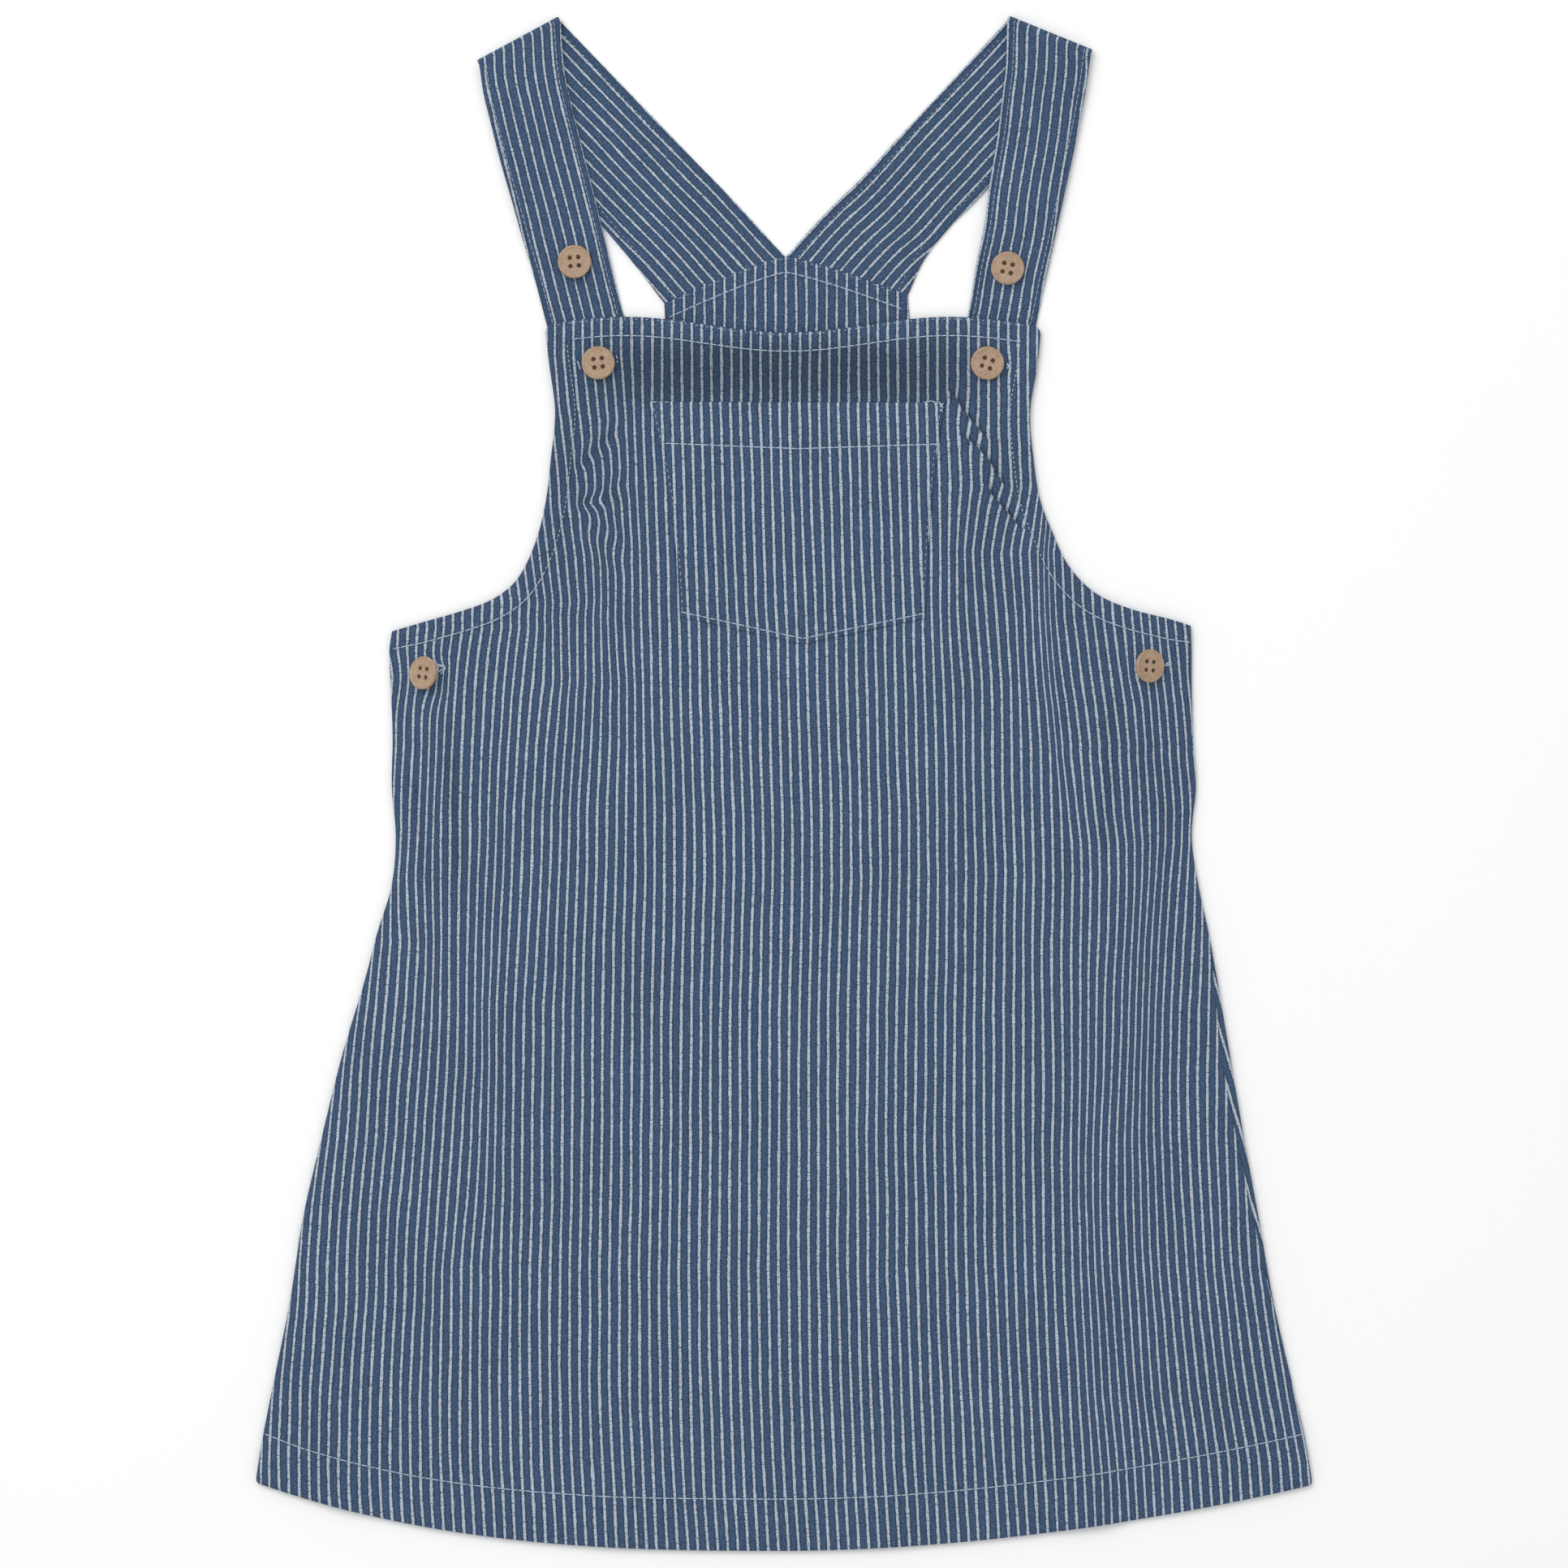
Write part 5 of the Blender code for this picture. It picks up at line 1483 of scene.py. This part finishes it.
class PINAFORE_OT_front(bpy.types.Operator):
    """Make the front panel with its folds and turned edges"""

    bl_idname = "pinafore.front"
    bl_label = "Front panel"

    def execute(self, context):
        x, y = front_outline_points(FRONT_COLUMNS, FRONT_ROWS_ABOVE, FRONT_ROWS_BELOW)
        flat = np.stack([x, y, np.zeros(x.shape)], axis=-1)
        points, profile = edge_rounded(flat, ROLL_RADIUS)
        x, y = points[..., 0], points[..., 1]
        middle, relief, turned = front_faces(x, y)
        points = np.stack([x, y, middle], axis=-1)
        # Painted shade, carried with the tone: a band between bib top and pocket, the troughs of the small
        # creases, and a few areas at the sides
        bib_shade_band = 1.0
        for place, centre, reach, power in zip((x, y), BIB_SHADE_MIDDLE, BIB_SHADE_REACH, BIB_SHADE_POWERS):
            bib_shade_band = bib_shade_band * np.exp(-((place - centre) / reach) ** power)
        crease = np.clip(fold_height(x, y, CREASES), -1.0, 0.0)
        shade = np.zeros(x.shape)
        for shade_x, shade_y, reach_x, reach_y, depth in PAINTED_SHADE_AREAS:
            shade += depth * np.exp(-((x - shade_x) / reach_x) ** 2 - ((y - shade_y) / reach_y) ** 2)
        attributes = {
            "turned": np.clip(turned, -DEPTH_LIMIT, DEPTH_LIMIT),
            "tone": (1 - BIB_SHADE * bib_shade_band) * (1 + TROUGH_PAINTED_SHADE * crease) * (1 - shade),
            "beyond_seam": beyond_seam(x, y),
            "back_stripe": x + SLIVER_LEAN * y + SLIVER_PHASE,
        }
        for label, line in zip(CREASE_LABELS, SHARP_CREASES):
            attributes[label] = crease_field(x, y, line)
        piece = cloth_shell(
            "front_cloth", points, (DENIM / 2 + relief) * profile, DENIM / 2 * profile,
            (front_stripes(x, y), y), attributes, material_of(denim_cloth))
        finished(piece, "denim", "front_panel")
        return {"FINISHED"}


class PINAFORE_OT_back(bpy.types.Operator):
    """Make the back panel with its pointed yoke"""

    bl_idname = "pinafore.back"
    bl_label = "Back panel"

    def execute(self, context):
        x, y = back_outline_points()
        flat = np.stack([x, y, np.full(x.shape, BACK_LEVEL)], axis=-1)
        points, profile = edge_rounded(flat, DENIM / 2, sewn=True)
        x, y = points[..., 0], points[..., 1]
        stripes = (x - YOKE_STRIPE_X) * STRIPE_PITCH / YOKE_STRIPE_PITCH
        turned = YOKE_DEPTH - (yoke_edge(x) - y) * YOKE_SLANT
        half = DENIM / 2 * profile
        attributes = {
            "turned": np.clip(turned, -DEPTH_LIMIT, DEPTH_LIMIT),
            "tone": np.full(x.shape, BACK_TONE),
            "thin": np.full(x.shape, STRIPE_THIN),
        }
        piece = cloth_shell(
            "back_cloth", points, half, half, (stripes, y), attributes, material_of(denim_cloth))
        finished(piece, "denim", "back_panel")
        return {"FINISHED"}


class PINAFORE_OT_straps(bpy.types.Operator):
    """Make both straps with the thread along their edges"""

    bl_idname = "pinafore.straps"
    bl_label = "Straps"

    def execute(self, context):
        sides = (
            ("left", STRAP_LEFT_BACK, STRAP_LEFT_FRONT, STRAP_STRIPE_LEFT, 1.0),
            ("right", STRAP_RIGHT_BACK, STRAP_RIGHT_FRONT, STRAP_STRIPE_RIGHT, -1.0),
        )
        for side, back_rows, front_rows, first_stripe, outward in sides:
            points = strap_points(back_rows, front_rows)
            if side == "right":
                points = points[:, ::-1]
            points, profile = edge_rounded(points, STRAP / 2, sewn=True)
            inner_edge = points[:, -1] if side == "left" else points[:, 0]
            edge_run = np.gradient(inner_edge, axis=0)
            edge_run /= np.linalg.norm(edge_run, axis=-1, keepdims=True)
            reach = reach_along(inner_edge)
            offset = points - inner_edge[:, None]
            forward = (offset * edge_run[:, None]).sum(axis=-1)
            inward = np.sqrt(np.maximum((offset ** 2).sum(axis=-1) - forward ** 2, 0.0))
            fold_rows = np.arange(STRAP_BACK_ROWS + 1, STRAP_BACK_ROWS + FOLD_STEPS + FOLD_ROWS_PAST)
            share = np.linspace(0.0, 1.0, len(fold_rows))[:, None]
            for values in (inward, forward):
                values[fold_rows] = values[fold_rows[0]] * (1 - share) + values[fold_rows[-1]] * share
            outer = inward[:, 0, None] if side == "left" else inward[:, -1, None]
            edge_gap = np.minimum(inward, outer - inward)
            half = STRAP / 2 * profile
            thin = SEWN_THIN * (1 - smoothstep(reach / SEWN_RUN))[:, None]
            lower = half - thin * profile
            upper = np.vstack([-lower[:1], half[1:]])
            attributes = {
                "turned": STRAP_DEPTH - edge_gap,
                "tone": np.ones(half.shape),
                "thin": np.full(half.shape, STRIPE_THIN),
            }
            piece = cloth_shell(
                "strap_cloth_" + side, points, upper, lower,
                ((inward - first_stripe) * outward, reach[:, None] + forward),
                attributes, material_of(denim_cloth))
            finished(piece, "denim", "strap_" + side)
            normal = grid_normals(points)
            outer_face = points + normal * half[..., None]
            inner_face = points - normal * lower[..., None]
            behind, fold = STRAP_BACK_ROWS, STRAP_BACK_ROWS + FOLD_STEPS
            shown = fold + (points[fold:, :, 1].mean(axis=1) > STRAP_STITCH_END).sum()
            first_column = len(EDGE_STEPS)
            even_columns = points.shape[1] - 1 - 2 * first_column
            runs = []
            for share in (STRAP_DEPTH / outer.mean(), 1 - STRAP_DEPTH / outer.mean()):
                up, above, below = (
                    strap_path(grid, first_column + share * even_columns)
                    for grid in (normal, inner_face, outer_face))
                runs.append((above[:behind], -up[:behind], *STRAP_BACK_STITCH))
                runs.append((below[fold:shown], up[fold:shown], *STRAP_FRONT_STITCH))
                sunk = below[:behind] - up[:behind] * THREAD_SINK
                runs.append((sunk, up[:behind], *STRAP_UNDER_STITCH))
            stitching = thread_mesh("strap_stitching_" + side, runs, material_of(sewing_thread))
            finished(stitching, "denim")
        return {"FINISHED"}


class PINAFORE_OT_pocket(bpy.types.Operator):
    """Make the patch pocket"""

    bl_idname = "pinafore.pocket"
    bl_label = "Pocket"

    def execute(self, context):
        u = np.linspace(0.0, 1.0, POCKET_COLUMNS + 1)[None, :]
        v = np.linspace(0.0, 1.0, POCKET_ROWS + 1)[:, None]
        middle, outer = pocket_faces(u, v)
        layers = np.concatenate([middle, outer[..., None]], axis=-1)
        layers, profile = edge_rounded(layers, POCKET_ROLL_RADIUS)
        points, outer = layers[..., :3], layers[..., 3]
        x, y = points[..., 0], points[..., 1]
        stripes = (x - POCKET_STRIPE_X - read_down(POCKET_DRIFT, y)) * STRIPE_PITCH / POCKET_STRIPE_PITCH
        side_reach = np.minimum(x - x[:, :1], x[:, -1:] - x)
        foot_reach = (y - y[-1]) * POCKET_SLANT
        turned = np.maximum(POCKET_MOUTH_HEM - POCKET_TOP_LEFT[1] + y, POCKET_SIDE_DEPTH - side_reach)
        turned = np.maximum(turned, POCKET_FOOT_DEPTH - foot_reach)
        attributes = {"turned": np.clip(turned, -DEPTH_LIMIT, DEPTH_LIMIT), "tone": np.ones(x.shape)}
        piece = cloth_shell(
            "pocket_cloth", points, outer * profile, DENIM / 2 * profile,
            (stripes, y), attributes, material_of(denim_cloth))
        finished(piece, "denim", "pocket")

        def line(u_path, v_path):
            """Return points on the pocket's outer face at shares across and down."""
            path, height_over = pocket_faces(u_path, v_path)
            path[..., 2] += height_over
            return path

        mouth, foot, side = (
            np.linspace(*ends, POCKET_POINTS)
            for ends in (POCKET_MOUTH_LINE, POCKET_FOOT_LINE, POCKET_SIDE_LINE))
        height = POCKET_TOP_LEFT[1] - POCKET_LOW_LEFT[1]
        side_share = POCKET_SIDE_DEPTH / (POCKET_TOP_RIGHT[0] - POCKET_TOP_LEFT[0])
        level = np.ones(POCKET_POINTS)
        runs = [
            laid(line(mouth, POCKET_MOUTH_HEM / height * level), LONG_STITCH),
            laid(line(foot, (1 - POCKET_FOOT_DEPTH / height) * level), LONG_STITCH),
            laid(line(side_share * level, side), POCKET_SIDE_STITCH),
            laid(line((1 - side_share) * level, side), POCKET_SIDE_STITCH),
        ]
        runs += tack_runs(POCKET_TACKS, DENIM + SEAM_GAP + POCKET_CORNER_LIFT)
        stitching = thread_mesh("pocket_stitching", runs, material_of(sewing_thread))
        finished(stitching, "denim")
        return {"FINISHED"}


class PINAFORE_OT_stitching(bpy.types.Operator):
    """Make the stitching of the front and the yoke"""

    bl_idname = "pinafore.stitching"
    bl_label = "Stitching"

    def execute(self, context):
        thread = material_of(sewing_thread)
        runs = [
            laid(hem_path(), LONG_STITCH),
            laid(bib_top_path(), LONG_STITCH),
            laid(bib_edge_path(), BIB_EDGE_STITCH),
        ]
        for line, inward in zip(side_lines(), (1.0, -1.0)):
            path = armhole_path(line, inward)
            beside_bib = path[:, 1] > BIB_STITCH_END
            runs.append(laid(path[beside_bib], BIB_SIDE_STITCH))
            runs.append(laid(path[~beside_bib], LONG_STITCH))
        runs += tack_runs(FRONT_TACKS, 0.0)
        finished(thread_mesh("front_stitching", runs, thread), "denim")
        reach = YOKE_HALF - YOKE_STITCH_STOP
        x = np.linspace(YOKE_APEX_X - reach, YOKE_APEX_X + reach, YOKE_POINTS)
        runs = []
        for depth, stitch in ((YOKE_DEPTH, LONG_STITCH), (YOKE_SEAM_DEPTH, YOKE_SEAM_STITCH)):
            path = np.stack([x, yoke_edge(x) - depth, np.full(x.shape, DENIM)], axis=-1)
            runs.append(laid(path, stitch))
        finished(thread_mesh("yoke_stitching", runs, thread), "denim")
        return {"FINISHED"}


class PINAFORE_OT_buttons(bpy.types.Operator):
    """Make the six buttons, turned, drilled and sewn on"""

    bl_idname = "pinafore.buttons"
    bl_label = "Buttons"

    def execute(self, context):
        for name, spin, tilt in BUTTONS:
            low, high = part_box("button_" + name)
            turn = Matrix.Rotation(math.radians(spin), 4, "Z") @ Matrix.Rotation(math.radians(tilt), 4, "Y")
            self.button(name, (low + high) / 2, turn)
        return {"FINISHED"}

    def button(self, name, centre, turn):
        """Make one button: its profile turned about its axis, less four flared holes filled with thread."""
        fine = along(BUTTON_PROFILE, np.linspace(0.0, len(BUTTON_PROFILE) - 1, BUTTON_RINGS))
        body = self.lathed("button_body", fine[1:-1], BUTTON_STEPS, fine[0, 1], fine[-1, 1])
        holes = [(x, y) for x in (-HOLE_OFFSET, HOLE_OFFSET) for y in (-HOLE_OFFSET, HOLE_OFFSET)]
        top, foot = HOLE_PROFILE[0][1], HOLE_PROFILE[-1][1]
        cutter = self.lathed("button_holes", HOLE_PROFILE, HOLE_STEPS, top, foot, holes)
        drilled = body.modifiers.new("holes", "BOOLEAN")
        drilled.operation = "DIFFERENCE"
        drilled.solver = "EXACT"
        drilled.object = cutter
        bpy.context.view_layer.update()
        graph = bpy.context.evaluated_depsgraph_get()
        mesh = bpy.data.meshes.new_from_object(body.evaluated_get(graph))
        plugs = self.lathed("button_plugs", PLUG_PROFILE, HOLE_STEPS, PLUG_TOP, PLUG_PROFILE[-1][1], holes)
        mesh.transform(turn)
        plugs.data.transform(turn)
        corners = np.empty(len(mesh.vertices) * 3)
        mesh.vertices.foreach_get("co", corners)
        corners = corners.reshape(-1, 3)
        middle = (corners.min(axis=0) + corners.max(axis=0)) / 2
        move = Matrix.Translation([centre[k] - middle[k] for k in range(3)])
        mesh.transform(move)
        plugs.data.transform(move)
        mesh.set_sharp_from_angle(angle=math.radians(BUTTON_SHARP_ANGLE))
        mesh.materials.clear()
        mesh.materials.append(material_of(corozo_nut))
        plugs.data.materials.append(material_of(button_thread))
        plugs.name = "button_" + name + "_thread"
        for used in (body, cutter):
            bpy.data.objects.remove(used, do_unlink=True)
        finished(add_object("button_" + name + "_turned", mesh), "button", "button_" + name)
        finished(plugs, "button")

    def lathed(self, name, rows, steps, top, foot, places=((0.0, 0.0),)):
        """Return closed bodies, one at each place: a profile of radius and height carried round an axis."""
        rows = np.array(rows, dtype=float)
        angle = np.linspace(0.0, 2 * np.pi, steps, endpoint=False)
        ring = np.stack([
            rows[:, 0, None] * np.cos(angle), rows[:, 0, None] * np.sin(angle),
            np.broadcast_to(rows[:, 1, None], (len(rows), steps))], axis=-1)
        single = np.concatenate([ring.reshape(-1, 3), [(0.0, 0.0, top), (0.0, 0.0, foot)]])
        shifts = np.column_stack([places, np.zeros(len(places))])
        vertices = (single + shifts[:, None]).reshape(-1, 3) * MM
        index = np.arange(len(rows) * steps).reshape(len(rows), steps)
        after = np.roll(index, -1, axis=1)
        walls = np.stack([index[:-1], index[1:], after[1:], after[:-1]], -1).reshape(-1, 4)
        crown = np.stack([np.full(steps, len(single) - 2), index[0], after[0]], -1)
        base = np.stack([np.full(steps, len(single) - 1), after[-1], index[-1]], -1)
        first = np.arange(len(places))[:, None, None] * len(single)
        faces = [part for group in (walls, crown, base)
                 for part in (group + first).reshape(-1, group.shape[1]).tolist()]
        mesh = bpy.data.meshes.new(name)
        mesh.from_pydata(vertices, [], faces)
        mesh.polygons.foreach_set("use_smooth", np.ones(len(faces), dtype=bool))
        return add_object(name, mesh)


class PINAFORE_OT_stage(bpy.types.Operator):
    """Make the floor, the soft light and the camera straight above"""

    bl_idname = "pinafore.stage"
    bl_label = "Floor, light and camera"

    def execute(self, context):
        scene = context.scene
        settings = scene.pinafore_stage
        corners = [
            (side * FLOOR_REACH, end * FLOOR_REACH, FLOOR_LEVEL)
            for side, end in ((-1, -1), (1, -1), (1, 1), (-1, 1))]
        mesh = bpy.data.meshes.new("floor")
        mesh.from_pydata(corners, [], [(0, 1, 2, 3)])
        mesh.materials.append(material_of(floor_paper))
        add_object("floor", mesh)

        lamp = bpy.data.lights.new("soft_overhead_lamp", "AREA")
        lamp.shape = "DISK"
        lamp.size = LAMP_SIZE
        lamp.energy = settings.lamp_power
        lamp_object = add_object("soft_overhead_lamp", lamp)
        lamp_object.location = LAMP_PLACE
        lamp_object.rotation_euler = [math.radians(turn) for turn in LAMP_TURN]

        world = bpy.data.worlds.new("even_sky")
        world.use_nodes = True
        sky = world.node_tree.nodes["Background"]
        sky.inputs["Color"].default_value = (1.0, 1.0, 1.0, 1.0)
        sky.inputs["Strength"].default_value = settings.sky_strength
        scene.world = world

        camera = bpy.data.cameras.new("camera_above")
        camera.sensor_width = 36.0
        camera.lens = camera.sensor_width * settings.camera_height / settings.view_width
        scene.camera = add_object("camera_above", camera)
        scene.camera.location = (0.0, 0.0, settings.camera_height)
        scene.view_settings.view_transform = "Standard"
        return {"FINISHED"}


class PINAFORE_PT_pieces(bpy.types.Panel):
    """Lists the pieces and their settings"""

    bl_idname = "PINAFORE_PT_pieces"
    bl_label = "Pinafore"
    bl_space_type = "VIEW_3D"
    bl_region_type = "UI"
    bl_category = "Pinafore"

    def draw(self, context):
        layout = self.layout
        scene = context.scene
        for group in (scene.pinafore_cloth, scene.pinafore_buttons, scene.pinafore_stage):
            box = layout.box()
            for name in group.bl_rna.properties.keys():
                if name not in ("rna_type", "name"):
                    box.prop(group, name)
        for operator in OPERATORS:
            layout.operator(operator.bl_idname)


GROUPS = (ClothSettings, ButtonSettings, StageSettings)
OPERATORS = (
    PINAFORE_OT_stage,
    PINAFORE_OT_back,
    PINAFORE_OT_straps,
    PINAFORE_OT_front,
    PINAFORE_OT_pocket,
    PINAFORE_OT_stitching,
    PINAFORE_OT_buttons,
)


def register():
    """Register every class and attach the settings to the scene."""
    for item in GROUPS + OPERATORS + (PINAFORE_PT_pieces,):
        bpy.utils.register_class(item)
    bpy.types.Scene.pinafore_cloth = bpy.props.PointerProperty(type=ClothSettings)
    bpy.types.Scene.pinafore_buttons = bpy.props.PointerProperty(type=ButtonSettings)
    bpy.types.Scene.pinafore_stage = bpy.props.PointerProperty(type=StageSettings)


def unregister():
    """Undo what register does."""
    del bpy.types.Scene.pinafore_stage
    del bpy.types.Scene.pinafore_buttons
    del bpy.types.Scene.pinafore_cloth
    for item in reversed(GROUPS + OPERATORS + (PINAFORE_PT_pieces,)):
        bpy.utils.unregister_class(item)


def main():
    """Build the whole dress."""
    register()
    bpy.ops.pinafore.stage()
    bpy.ops.pinafore.back()
    bpy.ops.pinafore.straps()
    bpy.ops.pinafore.front()
    bpy.ops.pinafore.pocket()
    bpy.ops.pinafore.stitching()
    bpy.ops.pinafore.buttons()


if __name__ == "__main__":
    main()
